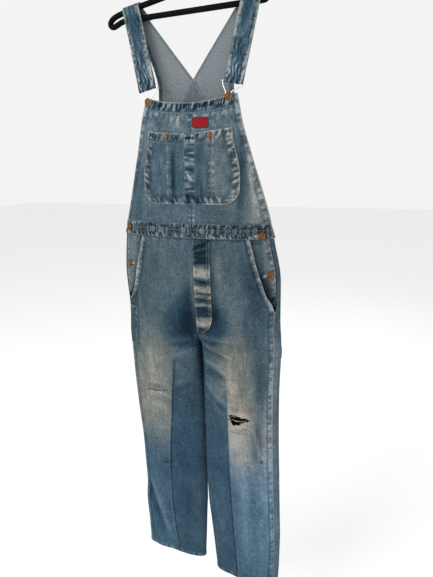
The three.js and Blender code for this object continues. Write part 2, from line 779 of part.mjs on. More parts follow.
for (const side of [-1, 1]) {
  const name = sideName(side);
  add(`bib_${name}`, bibPanel(side), DENIM);
  const outer = frontOuter(side);
  if (side > 0) {
    const torn = toManifold(outer).subtract(toManifold(ripCutter()));
    add(`front_outer_${name}`, fromManifold(torn), DENIM);
  } else {
    add(`front_outer_${name}`, outer, DENIM);
  }
  add(`front_inner_${name}`, frontInner(side), DENIM);
  add(`back_leg_${name}`, backLeg(side), DENIM);
  add(`hip_facing_${name}`, hipFacing(side), DENIM);
  add(`back_upper_${name}`, upperBackPanel(side), PALE_DENIM);
  add(`waistband_${name}`, waistband(side), DENIM);
  add(`strap_${name}`, strap(side), DENIM);
  add(`strap_hook_${name}`, strapHook(side), NICKEL);
  add(`bib_button_${name}`, bibButton(side), COPPER);
  const rivetSeat = frontAt(POCKET_RIVETS[name], POCKET_RIVETS.z);
  add(`pocket_rivet_${name}`, turned(RIVET_PROFILE, rivetSeat, POCKET_GAP + CLOTH), COPPER);
}
for (const { name, x, z, lift } of SIDE_BUTTONS) {
  add(name, turned(SIDE_PROFILE, frontAt(x, z), lift), COPPER);
}
add("bib_band", bibBand(), DENIM);
add("bib_pocket", bibPocket(), DENIM);
add("fly_placket", flyPlacket(), DENIM);
add("label_patch", labelPatch(), RED_CLOTH);
add("rule_pocket", rulePocket(), DENIM);
add("hammer_loop", hammerLoop(), DENIM);
add("back_patch", backPatch(), PALE_DENIM);
add("hanger_frame", hangerFrame(), BLACK_PLASTIC);
add("hanger_hook", hangerHook(), BLACK_PLASTIC);

export default overalls;
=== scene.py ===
"""Faded denim bib overalls hung on a black hanger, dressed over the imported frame, with their stage."""

import math

import bpy
import numpy as np
from bpy.props import FloatProperty, FloatVectorProperty, PointerProperty
from mathutils import Matrix


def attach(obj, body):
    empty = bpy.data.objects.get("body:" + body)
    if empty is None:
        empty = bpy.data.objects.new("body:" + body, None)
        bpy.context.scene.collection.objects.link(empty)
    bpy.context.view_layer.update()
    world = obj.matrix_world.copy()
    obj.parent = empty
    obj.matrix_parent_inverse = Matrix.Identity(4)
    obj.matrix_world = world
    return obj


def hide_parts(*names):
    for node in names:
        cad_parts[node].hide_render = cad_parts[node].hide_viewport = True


bl_info = {
    "name": "Faded Bib Overalls",
    "version": (1, 0, 0),
    "blender": (4, 5, 0),
    "location": "3D View > Sidebar > Overalls",
    "description": "Builds worn denim overalls on a hanger around their packed frame",
    "category": "Object",
}

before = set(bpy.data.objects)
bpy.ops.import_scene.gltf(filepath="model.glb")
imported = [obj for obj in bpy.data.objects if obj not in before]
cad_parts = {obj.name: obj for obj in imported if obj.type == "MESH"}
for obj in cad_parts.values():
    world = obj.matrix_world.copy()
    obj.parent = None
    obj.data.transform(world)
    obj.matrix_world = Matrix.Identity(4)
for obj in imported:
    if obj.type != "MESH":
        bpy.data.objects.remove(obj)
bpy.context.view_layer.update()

# Shapes are worked out in millimetres from the waist seam: +X to the viewer's right, -Y to the front, +Z up.
HANG_DROP = 660.0
HEM = -1038.0
FORK_TOP, FORK = -258.0, -298.0
BIB_TOP, BIB_SAG, BIB_BAND = 338.0, 14.0, 26.0
WAISTBAND_TOP = 39.0
BACK_CENTRE, BACK_TOP, NECK_V, NECK_SLOPE = -4.0, 520.0, 380.0, 0.79
OPENING_END, FACING_END = -185.0, -171.0
SEAM_GAP, LAYER = 0.3, 0.6
CENTRE = 6.0
STEADY_TURN = 0.42
HALF_PI = math.pi / 2

BODY_COLUMNS = "z left right left_in right_in left_mid right_mid peak front back round"
BODY = (
    (338, -121, 122, 6, 6, -20, -20, 0.12, 10, 10, 1.0),
    (280, -140, 131, 6, 6, -18, -18, 0.12, 15, 15, 0.9),
    (200, -161, 154, 6, 6, -13, -13, 0.12, 25, 25, 0.75),
    (100, -190, 183, 6, 6, -6, -6, 0.12, 38, 38, 0.6),
    (40, -207, 199, 6, 6, -2, -2, 0.12, 46, 44, 0.5),
    (0, -216, 205, 6, 6, 0, 0, 0.12, 50, 46, 0.46),
    (-110, -226, 223, 6, 6, 0, 0, 0.12, 52, 50, 0.44),
    (-210, -222, 223, 6, 6, 0, 0, 0.12, 46, 46, 0.43),
    (-280, -227, 227, 4.5, 7.5, 0, -2, 0.12, 41, 41, 0.42),
    (-410, -225, 225, 3, 9, 0, -8, 0.28, 37, 36, 0.42),
    (-520, -220, 226, 2.5, 10, 0, -12, 0.4, 34, 32, 0.42),
    (-690, -211, 230, 2, 11, 0, -16, 0.48, 30, 28, 0.42),
    (-800, -212, 233, 1, 15, 0, -18, 0.5, 27, 26, 0.42),
    (-870, -217, 235, -3, 22, 0, -19, 0.5, 26, 25, 0.42),
    (-960, -214, 234, -8, 31, 0, -21, 0.5, 24, 23, 0.42),
    (-1038, -213, 230, -13, 38, 0, -22, 0.5, 22, 22, 0.42),
)
UPPER_BACK_COLUMNS = "z out edge centre"
UPPER_BACK = (
    (0, 212, 0.2, 46),
    (60, 186, 3, 41),
    (120, 158, 6, 34),
    (180, 134, 8, 27),
    (240, 116, 10, 20),
    (300, 104, 11, 15),
    (360, 101, 12, 13),
    (450, 126, 12, 12),
    (520, 158, 12, 12),
)
SIDE_COLUMNS = "z left right"
HIP_OPENING = (
    (0, -147, 154), (-70, -159, 172), (-110, -168, 185), (-140, -177, 194), (-165, -193, 207), (-185, -211, 213),
)
OUTSEAM_INSET = ((0, 5, 5), (-160, 6, 6), (-240, 6, 13), (-1038, 6, 12))
LEG_SEAM = (
    (-298, 3, 9),
    (-303, -18, 30),
    (-320, -48, 66),
    (-338, -69, 86),
    (-414, -79, 89),
    (-547, -92, 92),
    (-690, -105, 93),
    (-838, -108, 100),
    (-933, -104, 106),
    (-1038, -96, 113),
)

# Large folds, shared with the solids: x0, z0, x1, z1, rise, breadth.
FOLDS = (
    (122, 290, 146, 40, -5, 20),
    (-134, 250, -150, 50, -3.5, 22),
    (-150, -40, -178, -230, 4, 24),
    (-118, -60, -125, -260, -4, 26),
    (110, -60, 96, -250, 4, 28),
    (188, -330, 184, -450, -4, 26),
    (122, -360, 124, -660, 4, 32),
    (-150, -330, -152, -560, 4, 32),
    (-205, -770, -120, -1020, -5, 30),
    (170, -760, 182, -960, -4, 30),
)
# Creases of the front, placed one by one: x0, z0, x1, z1, rise, breadth.
FRONT_CREASES = (
    (-108, 312, -62, 272, -1.6, 9),
    (-96, 322, -40, 296, 1.2, 7),
    (108, 312, 70, 276, -1.6, 9),
    (-44, 226, -40, 92, -3.2, 7),
    (-66, 214, -60, 92, 1.4, 6),
    (48, 220, 46, 96, -1.2, 8),
    (84, 180, 92, 110, 1.2, 12),
    (-70, 306, -24, 266, 1.6, 5),
    (96, 304, 58, 268, 1.6, 5),
    (84, 312, 60, 282, -1.6, 5),
    (-26, 306, -10, 268, -1.4, 4),
    (126, 262, 152, 50, -3.4, 6),
    (138, 250, 170, 52, 2.6, 5),
    (148, 232, 182, 60, -2.6, 5),
    (162, 190, 194, 60, 2.2, 5),
    (-150, 210, -176, 60, 1.8, 9),
    (-60, 76, -150, 52, -1.2, 8),
    (20, 76, 120, 58, -1.2, 8),
    (-13, -90, -11, -292, -3.5, 8),
    (1, -6, 0, -290, 1.6, 4),
    (-151, -24, -177, -240, 2.6, 6),
    (-162, -30, -190, -250, -2.4, 8),
    (-40, -60, -46, -270, 1.4, 14),
    (63, -8, 61, -236, -2.2, 6),
    (82, -40, 78, -230, 1.6, 10),
    (146, -30, 168, -150, -2.2, 12),
    (140, -170, 206, -215, -1.8, 10),
    (10, -262, 96, -272, 4.4, 3.6),
    (12, -274, 92, -288, -3.6, 4),
    (14, -286, 98, -300, 4.2, 3.6),
    (14, -300, 96, -322, -3.6, 4),
    (16, -330, 90, -352, 2.6, 6),
    (14, -356, 86, -384, -2.8, 7),
    (14, -396, 84, -430, 2.2, 7),
    (84, -268, 150, -246, 1.2, 8),
    (-10, -274, -70, -286, 1.4, 6),
    (-12, -290, -64, -308, -1.8, 6),
    (-172, -432, -100, -424, 1.3, 5),
    (-176, -446, -96, -440, -1.4, 5),
    (-168, -468, -90, -462, 1.6, 5),
    (-160, -482, -84, -486, -1.5, 6),
    (-150, -502, -100, -498, 1.0, 6),
    (90, -476, 168, -480, 2.0, 5),
    (86, -466, 172, -464, -1.4, 6),
    (98, -520, 156, -514, 1.6, 5),
    (160, -488, 184, -600, 2.0, 4),
    (168, -488, 192, -600, -1.6, 5),
    (92, -540, 150, -534, -1.4, 7),
    (14, -446, 84, -462, 1.4, 5),
    (14, -456, 84, -472, -1.6, 6),
    (-100, -560, -160, -600, 1.2, 9),
    (-200, -740, -120, -1000, 4.0, 9),
    (-208, -770, -140, -1010, -5.0, 11),
    (-60, -640, -52, -960, -1.6, 14),
    (-30, -700, -24, -1000, 1.4, 12),
    (60, -600, 66, -940, 1.4, 14),
    (136, -640, 146, -1000, 1.8, 12),
    (158, -620, 166, -980, -1.8, 12),
    (205, -640, 212, -1000, 1.2, 9),
)
# Creases of the back, in the same columns.
BACK_CREASES = (
    (-40, 300, -60, 120, -2.4, 16),
    (36, 310, 60, 110, -2.4, 16),
    (-120, 100, -60, 40, 1.6, 12),
    (110, 100, 50, 36, 1.6, 12),
    (-30, -30, -40, -250, 2.0, 18),
    (40, -30, 46, -250, 2.0, 18),
    (-20, -280, -110, -330, -3.0, 10),
    (-20, -296, -120, -360, 2.2, 9),
    (26, -280, 120, -326, -3.0, 10),
    (26, -296, 126, -360, 2.2, 9),
    (-160, -120, -150, -300, -2.6, 20),
    (160, -120, 150, -300, -2.6, 20),
    (-170, -440, -60, -452, -2.2, 7),
    (-160, -470, -70, -476, 2.0, 7),
    (-150, -500, -60, -492, -1.8, 8),
    (50, -452, 170, -440, -2.2, 7),
    (60, -476, 180, -470, 2.0, 7),
    (56, -496, 160, -500, -1.8, 8),
    (-110, -560, -120, -1000, 2.2, 20),
    (-160, -600, -170, -980, -2.0, 18),
    (120, -560, 130, -1000, 2.2, 20),
    (176, -600, 180, -980, -2.0, 18),
)

# How worn the front is at each height, on the outer and the inner panels: 0 is unworn, 1 is nearly bare.
WEAR_COLUMNS = "z outer inner"
WEAR = (
    (338, 0.70, 0.70),
    (250, 0.66, 0.66),
    (150, 0.53, 0.53),
    (60, 0.55, 0.55),
    (0, 0.50, 0.50),
    (-120, 0.47, 0.47),
    (-230, 0.44, 0.44),
    (-300, 0.43, 0.37),
    (-420, 0.46, 0.35),
    (-560, 0.46, 0.36),
    (-700, 0.44, 0.38),
    (-900, 0.50, 0.40),
    (-1038, 0.50, 0.40),
)
# Patches made paler or darker on the outer panels: x, z, half width, half height, added paleness. The row at x 8, z
# -345 is painted shadow in the gap between the legs; the rows at x 128 and x 186 are painted shade in troughs of the
# folds.
FRONT_WEAR_AND_SHADE = (
    (-156, -465, 100, 205, 0.32),
    (110, -465, 54, 215, 0.38),
    (152, -610, 80, 150, 0.19),
    (170, -830, 62, 190, 0.19),
    (206, -470, 22, 290, 0.28),
    (112, -170, 24, 110, 0.10),
    (72, -110, 12, 90, 0.09),
    (-90, -120, 50, 80, 0.03),
    (166, 140, 26, 120, 0.32),
    (-164, 120, 18, 110, -0.12),
    (-22, -216, 34, 74, -0.24),
    (-42, -240, 60, 64, -0.22),
    (58, -226, 36, 50, -0.38),
    # Painted shadow in the deep gap between the legs below the crotch.
    (8, -345, 12, 62, -0.42),
    (-118, -325, 54, 48, 0.08),
    (66, -190, 13, 40, -0.18),
    (172, -130, 24, 46, -0.12),
    # Painted shade down the trough of the fold beside the bib's right edge.
    (128, 130, 8, 100, -0.20),
    (-196, -260, 13, 90, -0.14),
    # Painted shade in the trough of the fold on the right thigh.
    (186, -390, 14, 70, -0.20),
    (178, -540, 14, 60, -0.04),
    (-105, -690, 26, 80, -0.06),
)
# Patches made paler or darker on the inner leg panels, in the same columns; the row at x 8, z -360 is painted shadow in
# the gap between the legs.
INNER_WEAR_AND_SHADE = (
    (50, -430, 50, 90, 0.04),
    (-44, -420, 40, 80, 0.03),
    (20, -300, 40, 30, -0.12),
    (-20, -320, 34, 40, -0.10),
    (84, -520, 20, 140, 0.08),
    # Painted shadow in the deep gap between the legs.
    (8, -360, 12, 80, -0.36),
)
# The same columns for the back: seat and knees.
BACK_WEAR = (
    (-100, -140, 70, 90, 0.22),
    (100, -140, 70, 90, 0.22),
    (-110, -470, 60, 60, 0.14),
    (120, -470, 60, 60, 0.14),
)
# Whiskers, rubbed pale or left dark: x and z of both ends, added wear, width.
WHISKERS = (
    (24, -269, 98, -293, 0.20, 3.4),
    (28, -280, 98, -306, -0.14, 3.0),
    (30, -293, 104, -322, 0.15, 3.6),
    (34, -330, 92, -372, 0.12, 4.0),
    (34, -345, 96, -390, -0.12, 3.6),
    (22, -408, 96, -462, 0.16, 4.6),
    (24, -426, 92, -482, -0.12, 4.0),
    (28, -448, 88, -498, 0.10, 4.0),
    (-8, -272, -74, -292, 0.14, 3.4),
    (-10, -286, -92, -312, -0.12, 3.4),
    (-14, -306, -84, -346, 0.12, 4.0),
    (-16, -396, -80, -432, 0.10, 4.6),
    (-18, -414, -84, -452, -0.10, 4.0),
    (96, -330, 104, -430, 0.10, 5.0),
    (126, -340, 132, -440, -0.08, 5.0),
    (150, -330, 158, -450, 0.10, 6.0),
    (160, -500, 172, -640, -0.10, 5.0),
    (-150, -300, -140, -420, 0.07, 6.0),
    (-176, -320, -168, -440, -0.07, 6.0),
)
# Warmth of the colour: x, z, half width, half height, from -1 for blue to 1 for beige.
FRONT_WARMTH = (
    (-156, -460, 104, 200, 1.1),
    (112, -405, 58, 130, 1.15),
    (130, -570, 70, 110, 0.8),
    (110, -300, 60, 60, 0.5),
    (-100, -310, 60, 40, 0.5),
    (80, -110, 80, 110, 0.4),
    (-100, -120, 90, 120, 0.3),
    (58, -226, 42, 54, -0.6),
    (-34, -230, 52, 90, -0.7),
    (0, 20, 220, 22, 0.15),
    (165, 140, 30, 120, 0.45),
    (110, 60, 60, 30, 0.3),
)
# Brown and dark marks: x, z, half width, half height, strength.
FRONT_RUST = (
    (-38, -120, 8, 18, 0.22),
    (3, -80, 4, 90, 0.25),
    (173, -545, 2.2, 52, 0.6),
    (158, -470, 20, 14, 0.25),
    (-55, 246, 8, 7, 0.4),
    (60, 243, 8, 7, 0.4),
    (-21, 240, 2.6, 9, 0.7),
    (24, 240, 2.6, 9, 0.7),
)
FRONT_SMUDGE = (
    (-121, -701, 9, 4, 0.8),
    (-110, -696, 4, 3, 0.6),
    (-149, -623, 4, 3.5, 0.7),
    (66, -627, 7, 5, 0.6),
    (187, -615, 4, 6, 0.7),
    (116, -534, 24, 2.2, 0.5),
    (140, -520, 9, 3.5, 0.5),
    (128, -526, 9, 2.6, 0.4),
    (150, -640, 4, 9, 0.3),
)

# The rip cut through one knee, as in the solids, and the line of the other knee's tear: x, z.
KNEE_RIP = (
    (97, -487), (104, -481), (116, -482), (128, -485), (142, -487), (154, -492), (149, -497),
    (139, -499), (131, -502), (126, -509), (116, -510), (107, -512), (101, -503),
)
KNEE_TEAR = ((-164, -458.0), (-140, -457.4), (-118, -455.2), (-98, -452.5))

POCKET_TOP, POCKET_SAG, POCKET_BOTTOM, POCKET_CENTRE = 264.0, 10.0, 85.0, -4.0
POCKET_TOP_HALF, POCKET_WIDE_HALF, POCKET_WIDE_AT, POCKET_CORNER, POCKET_GAP = 112.0, 131.0, 150.0, 38.0, 0.8
FLY_LEFT, FLY_RIGHT, FLY_TOP, FLY_BOTTOM, FLY_BEND, FLY_END = 8.5, 54.0, -2.0, -256.0, -200.0, 16.0
RULE_TOP, RULE_BOTTOM = -205, -320
LOOP_TOP, LOOP_BOTTOM, LOOP_BOW = -288, -318, 16
PATCH_BOTTOM, PATCH_TOP_HALF, PATCH_BOTTOM_HALF = 330, 4, 32
LABEL_LEFT, LABEL_RIGHT, LABEL_BOTTOM, LABEL_TOP, LABEL_CORNER = 10.0, 52.0, 265.0, 289.0, 5.0

STRAP_OVER, STRAP_HALF, STRAP_END_X, STRAP_END_Z, STRAP_TAIL_TOP = 155.0, 23.0, 113.0, 362.0, 452.0
BACK_END_X, BACK_END_Y, BACK_END_HALF = 133, 11.1, 24
ARM_TILT, STRAP_END_TILT, STRAP_ARM, STRAP_HANG = 0.155, 0.2, 547.0, -23.0
HOOK_WIRE, HOOK_CLEAR = 1.3, 0.5
BIB_BUTTON_X, BIB_BUTTON_Z, BIB_SHANK = {-1: -109.0, 1: 102.0}, 331.0, 3.4
SIDE_BUTTONS = (
    ("side_button_left_upper", -190, 20, True),
    ("side_button_left_lower", -199, -80, False),
    ("side_button_right_upper", 181, 10, True),
    ("side_button_right_lower", 203, -88, False),
)
POCKET_RIVETS = {"left": -62.0, "right": 55.0}
POCKET_RIVET_Z = 247.0

HANGER_RADIUS, HANGER_BAR, HANGER_TOP = 6.5, 525.0, 572.0
HANGER_RIGHT = (
    (28, 568), (100, 556), (155, 547), (172, 543), (183, 537.5), (187, 531.5), (183, 526.5), (174, 525),
    (120, 525),
)
HANGER_LEFT = (
    (28, 568), (100, 556), (155, 547), (185, 541), (205, 535.5), (216.5, 528.5), (220.5, 521), (216.5, 515),
    (208.5, 514.5), (199, 518), (184, 523), (165, 525), (120, 525),
)
HOOK_RADIUS, HOOK_BEND = 4.0, 22.0

# The photograph's camera, in the garment's millimetres and in pixels of a picture 433 wide and 577 high.
CAMERA_AT = (522.4, -1119.4, 203.5)
CAMERA_AZIMUTH, CAMERA_PITCH, CAMERA_ROLL = 22.97, 15.82, -1.5
CAMERA_FOCAL, PICTURE_HIGH = 473.9, 577.0
FLOOR_Z = -1.93


def smoothstep(value, low, high):
    """Soft step from 0 at low to 1 at high: 3t^2 - 2t^3."""
    t = np.clip((value - low) / (high - low), 0, 1)
    return t * t * (3 - 2 * t)


def lerp(a, b, t):
    """Straight mix of a and b."""
    return a + (b - a) * t


def column(names, rows, name):
    """Smooth curve through one column of a table by height: cubic pieces whose slopes are harmonic means."""
    table = np.array(sorted(rows), float)
    z, value = table[:, 0], table[:, names.split().index(name)]
    slope = np.diff(value) / np.diff(z)
    before, after = np.r_[slope[0], slope], np.r_[slope, slope[-1]]
    agree = before * after > 0
    tangent = np.where(agree, 2 * before * after / np.where(agree, before + after, 1), 0)

    def at(height):
        h = np.clip(height, z[0], z[-1])
        i = np.clip(np.searchsorted(z, h) - 1, 0, len(z) - 2)
        span = z[i + 1] - z[i]
        t = (h - z[i]) / span
        bend = (t - 1) * tangent[i] * span + t * tangent[i + 1] * span
        return value[i] + (value[i + 1] - value[i]) * t * t * (3 - 2 * t) + t * (t - 1) * bend

    return at


body = {name: column(BODY_COLUMNS, BODY, name) for name in BODY_COLUMNS.split()}
upper_back = {name: column(UPPER_BACK_COLUMNS, UPPER_BACK, name) for name in UPPER_BACK_COLUMNS.split()}


def sided(rows):
    """Curves of a two-sided table, by side."""
    return {-1: column(SIDE_COLUMNS, rows, "left"), 1: column(SIDE_COLUMNS, rows, "right")}


hip_opening, outseam_inset, leg_seam = sided(HIP_OPENING), sided(OUTSEAM_INSET), sided(LEG_SEAM)


def of_side(side, name, z):
    """A left or right column of the body's table at each point."""
    return np.where(np.asarray(side) < 0, body["left" + name](z), body["right" + name](z))


LATTICE = np.random.default_rng(41).uniform(-1, 1, (64, 64))


def mottle(u, v, seed=0):
    """Smooth noise from -1 to 1: random values on a square lattice, mixed with soft steps."""
    u, v = np.asarray(u) + 7.3 * seed, np.asarray(v) + 3.1 * seed
    i, j = np.floor(u).astype(int), np.floor(v).astype(int)
    s, t = u - i, v - j
    s, t = s * s * (3 - 2 * s), t * t * (3 - 2 * t)
    a, b = LATTICE[i % 64, j % 64], LATTICE[(i + 1) % 64, j % 64]
    c, d = LATTICE[i % 64, (j + 1) % 64], LATTICE[(i + 1) % 64, (j + 1) % 64]
    return lerp(lerp(a, b, s), lerp(c, d, s), t)


def lines_rise(x, z, lines, end_fade=0.0):
    """Sum of soft ridges and troughs: each falls off as a bell with the distance from its line."""
    total = np.zeros(np.broadcast(x, z).shape)
    for x0, z0, x1, z1, rise, broad in lines:
        run_x, run_z = x1 - x0, z1 - z0
        long = run_x**2 + run_z**2
        along = ((x - x0) * run_x + (z - z0) * run_z) / long
        held = np.clip(along, 0, 1)
        away = np.hypot(x - x0 - held * run_x, z - z0 - held * run_z)
        bell = rise * np.exp(-0.5 * (away / broad) ** 2)
        if end_fade:
            waver = 1 + 0.35 * mottle(along * math.sqrt(long) / 26, broad, 3)
            bell *= waver * smoothstep(along, -0.05, end_fade) * (1 - smoothstep(along, 1 - end_fade, 1.05))
        total += bell
    return total


def blots(x, z, rows):
    """Sum of soft oval patches with nearly flat tops."""
    total = np.zeros(np.broadcast(x, z).shape)
    for cx, cz, rx, rz, amount in rows:
        total += amount * np.exp(-((((x - cx) / rx) ** 2 + ((z - cz) / rz) ** 2) ** 1.5))
    return total


def fork(z):
    """How far the halves have parted at a height, as an angle up to a right angle."""
    return smoothstep(-z, -FORK_TOP, -FORK) * HALF_PI


def ring(side, turn, z):
    """Point of the body: two quarter ovals a half, from the front's inner edge round to the back's."""
    inner, outer = of_side(side, "_in", z), of_side(side, "", z)
    peak = body["peak"](z)
    full = peak * np.sin(fork(z))
    sine, cosine = np.sin(turn), np.cos(turn)
    share = np.where(sine < 0, full + peak * sine, full + (1 - full) * sine)
    swell = np.sign(cosine) * np.abs(cosine) ** (2 * body["round"](z))
    depth = np.where(cosine >= 0, body["front"](z), body["back"](z))
    x = inner + (outer - inner) * share
    calm = np.sqrt(np.maximum(cosine, 0)) * smoothstep(np.abs(x - inner), 4, 40)
    y = of_side(side, "_mid", z) - depth * swell - lines_rise(x, z, FOLDS) * calm
    return np.stack(np.broadcast_arrays(x, y, z), -1).astype(float)


def turn_at(side, x, z):
    """Turn at which the front of a half reaches x."""
    inner, outer = of_side(side, "_in", z), of_side(side, "", z)
    peak = body["peak"](z)
    full = peak * np.sin(fork(z))
    share = (x - inner) / (outer - inner)
    sine = np.where(share < full, (share - full) / peak, (share - full) / (1 - full))
    return np.arcsin(np.clip(sine, -1, 1))


def unit(v):
    """Vectors of length one."""
    return v / np.maximum(np.linalg.norm(v, axis=-1, keepdims=True), 1e-9)


def ripple(x, z, seed):
    """Small uneven waves of hanging cloth, in millimetres."""
    slow = 0.9 * mottle(x / 34, z / 110, seed) + 0.5 * mottle(x / 15, z / 42, seed + 1)
    return slow + 0.22 * mottle(x / 6, z / 11, seed + 2)


def front_relief(x, z):
    """Creases and waves of the front, along its normal."""
    return lines_rise(x, z, FRONT_CREASES, 0.3) + ripple(x, z, 5)


def back_relief(x, z):
    """Creases and waves of the back, along its normal."""
    return lines_rise(x, z, BACK_CREASES, 0.3) + 1.3 * ripple(x, z, 11)


def skin(side, turn, z):
    """Outer face of the body with its creases, and its normals."""
    turn, z = np.broadcast_arrays(np.asarray(turn, float), np.asarray(z, float))
    point = ring(side, turn, z)
    across = ring(side, turn + 0.004, z) - ring(side, turn - 0.004, z)
    up = ring(side, turn, z + 0.5) - ring(side, turn, z - 0.5)
    normal = unit(np.cross(across, up) * np.asarray(side)[..., None])
    cosine = np.cos(turn)
    x = point[..., 0]
    inner = of_side(side, "_in", z)
    calm = np.minimum(np.abs(cosine) ** 0.5, 1) * np.where(z > FORK, 1, smoothstep(np.abs(x - inner), 2, 20))
    relief = np.where(cosine > 0, front_relief(x, z), back_relief(x, z)) * calm
    return point + normal * relief[..., None], normal


def front_at(x, z):
    """Outer face of the front at x and z, and its normals."""
    x, z = np.broadcast_arrays(np.asarray(x, float), np.asarray(z, float))
    side = np.where(x < CENTRE, -1, 1)
    return skin(side, turn_at(side, x, z), z)


def upper_back_base(x, z):
    """Point of the upper back: an arc between its edges, flat between the straps."""
    u = np.clip((x - BACK_CENTRE) / (upper_back["out"](z) + 8), -1, 1)
    edge = upper_back["edge"](z)
    y = edge + (upper_back["centre"](z) - edge) * (1 - u * u) ** 0.6
    return np.stack(np.broadcast_arrays(x, y, z), -1).astype(float)


def upper_back_at(x, z):
    """Outer face of the upper back with its creases, and its normals."""
    x, z = np.broadcast_arrays(np.asarray(x, float), np.asarray(z, float))
    across = upper_back_base(x + 0.5, z) - upper_back_base(x - 0.5, z)
    up = upper_back_base(x, z + 0.5) - upper_back_base(x, z - 0.5)
    normal = unit(np.cross(up, across))
    relief = back_relief(x, z) * smoothstep(z, 0, 20) * (1 - 0.7 * smoothstep(z, 300, 400))
    return upper_back_base(x, z) + normal * relief[..., None], normal


def pucker(distance, along, width, seed, step=4.5):
    """Gathers beside a row of stitches, from -1 to 1: noise across the row, inside a band."""
    window = smoothstep(distance, 0.5, 3.0) * (1 - smoothstep(distance, 0.55 * width, width))
    lean = along + 0.35 * distance
    coarse = mottle(lean / step, distance / (3 * step), seed)
    coarse = coarse + 0.5 * mottle(2 * lean / step, distance / (2 * step), seed + 1)
    return window * np.clip(1.7 * coarse, -1, 1)


def worn_edge(distance, reach=1.6):
    """Pale rub along a folded edge."""
    return np.exp(-((distance / reach) ** 2))


def grain(x, z, seed):
    """Uneven colour of washed denim: cloudy patches, upright streaks and specks."""
    cloud = 0.05 * mottle(x / 45, z / 60, seed) + 0.04 * mottle(x / 18, z / 22, seed + 1)
    return cloud + 0.045 * mottle(x / 3.2, z / 34, seed + 2) + 0.06 * mottle(x / 3.6, z / 4.2, seed + 3)


wear_at = {name: column(WEAR_COLUMNS, WEAR, name) for name in WEAR_COLUMNS.split()}


def front_fade_and_shade(x, z, panel="outer"):
    """How worn the front is before its seams: by height, in patches, on ridges of creases and in whiskers; some dark
    patches are painted shade between the legs and in troughs of the folds.
    """
    patches = blots(x, z, FRONT_WEAR_AND_SHADE if panel == "outer" else INNER_WEAR_AND_SHADE)
    rubbed = 0.05 * np.clip(lines_rise(x, z, FRONT_CREASES, 0.3), -4, 3)
    return wear_at[panel](z) + patches + rubbed + lines_rise(x, z, WHISKERS, 0.3) + grain(x, z, 2)


def front_warmth(x, z):
    """Colour of the front: bluer down the shins, beige where it is worn through."""
    return -0.25 - 0.75 * smoothstep(-z, 480, 700) + blots(x, z, FRONT_WARMTH)


def back_fade(x, z):
    """How worn the back is: paler at seat and knees."""
    rubbed = 0.035 * np.clip(lines_rise(x, z, BACK_CREASES, 0.3), -4, 3)
    return 0.48 + blots(x, z, BACK_WEAR) + rubbed + grain(x, z, 9)


class Socket:
    """A shader value whose operators add Math nodes."""

    def __init__(self, shader, link):
        self.shader, self.link = shader, link

    def maths(self, operation, first, second):
        return self.shader.node("ShaderNodeMath", {"operation": operation}, {0: first, 1: second})

    def __add__(self, other):
        return self.maths("ADD", self, other)

    def __sub__(self, other):
        return self.maths("SUBTRACT", self, other)

    def __rsub__(self, other):
        return self.maths("SUBTRACT", other, self)

    def __mul__(self, other):
        return self.maths("MULTIPLY", self, other)

    __radd__, __rmul__ = __add__, __mul__


class Shader:
    """A node material that is written as expressions."""

    def __init__(self, name):
        self.material = bpy.data.materials.new(name)
        self.material.use_nodes = True
        self.tree = self.material.node_tree
        self.tree.nodes.clear()

    def node(self, kind, settings=None, sockets=None, output=0):
        """Adds a node: settings first, then values or links of its sockets. Gives the chosen output."""
        node = self.tree.nodes.new(kind)
        for key, value in (settings or {}).items():
            if key == "stops":
                ramp = node.color_ramp.elements
                while len(ramp) < len(value):
                    ramp.new(0.5)
                for element, (place, colour) in zip(ramp, value):
                    element.position, element.color = place, (*colour, 1)
            else:
                setattr(node, key, value)
        for key, value in (sockets or {}).items():
            if isinstance(value, Socket):
                self.tree.links.new(value.link, node.inputs[key])
            else:
                node.inputs[key].default_value = value
        return Socket(self, node.outputs[output]) if node.outputs else None

    def read(self, attribute):
        """One of the piece's own attributes."""
        return self.node("ShaderNodeAttribute", {"attribute_name": attribute}, output="Fac")

    def noise(self, scale, detail=2.0):
        """Noise over the piece's own place in the frame."""
        place = self.node("ShaderNodeTexCoord", output="Object")
        return self.node("ShaderNodeTexNoise", None, {"Vector": place, "Scale": scale, "Detail": detail})

    def mix(self, share, first, second):
        """Mix of two colours, with the share held between 0 and 1."""
        settings = {"data_type": "RGBA", "clamp_factor": True}
        return self.node("ShaderNodeMix", settings, {"Factor": share, 6: first, 7: second}, output=2)

    def surface(self, colour, roughness, metallic=0.0, bump=None, strength=0.3, reach=0.0005, **constants):
        """Finishes the material with one Principled surface."""
        sockets = {"Base Color": colour, "Roughness": roughness, "Metallic": metallic, **constants}
        if bump is not None:
            sockets["Normal"] = self.node(
                "ShaderNodeBump", None, {"Strength": strength, "Distance": reach, "Height": bump}
            )
        shaded = self.node("ShaderNodeBsdfPrincipled", None, sockets)
        self.node("ShaderNodeOutputMaterial", None, {"Surface": shaded})
        return self.material


def rgba(colour):
    """A colour property with full cover."""
    return (*colour, 1.0)


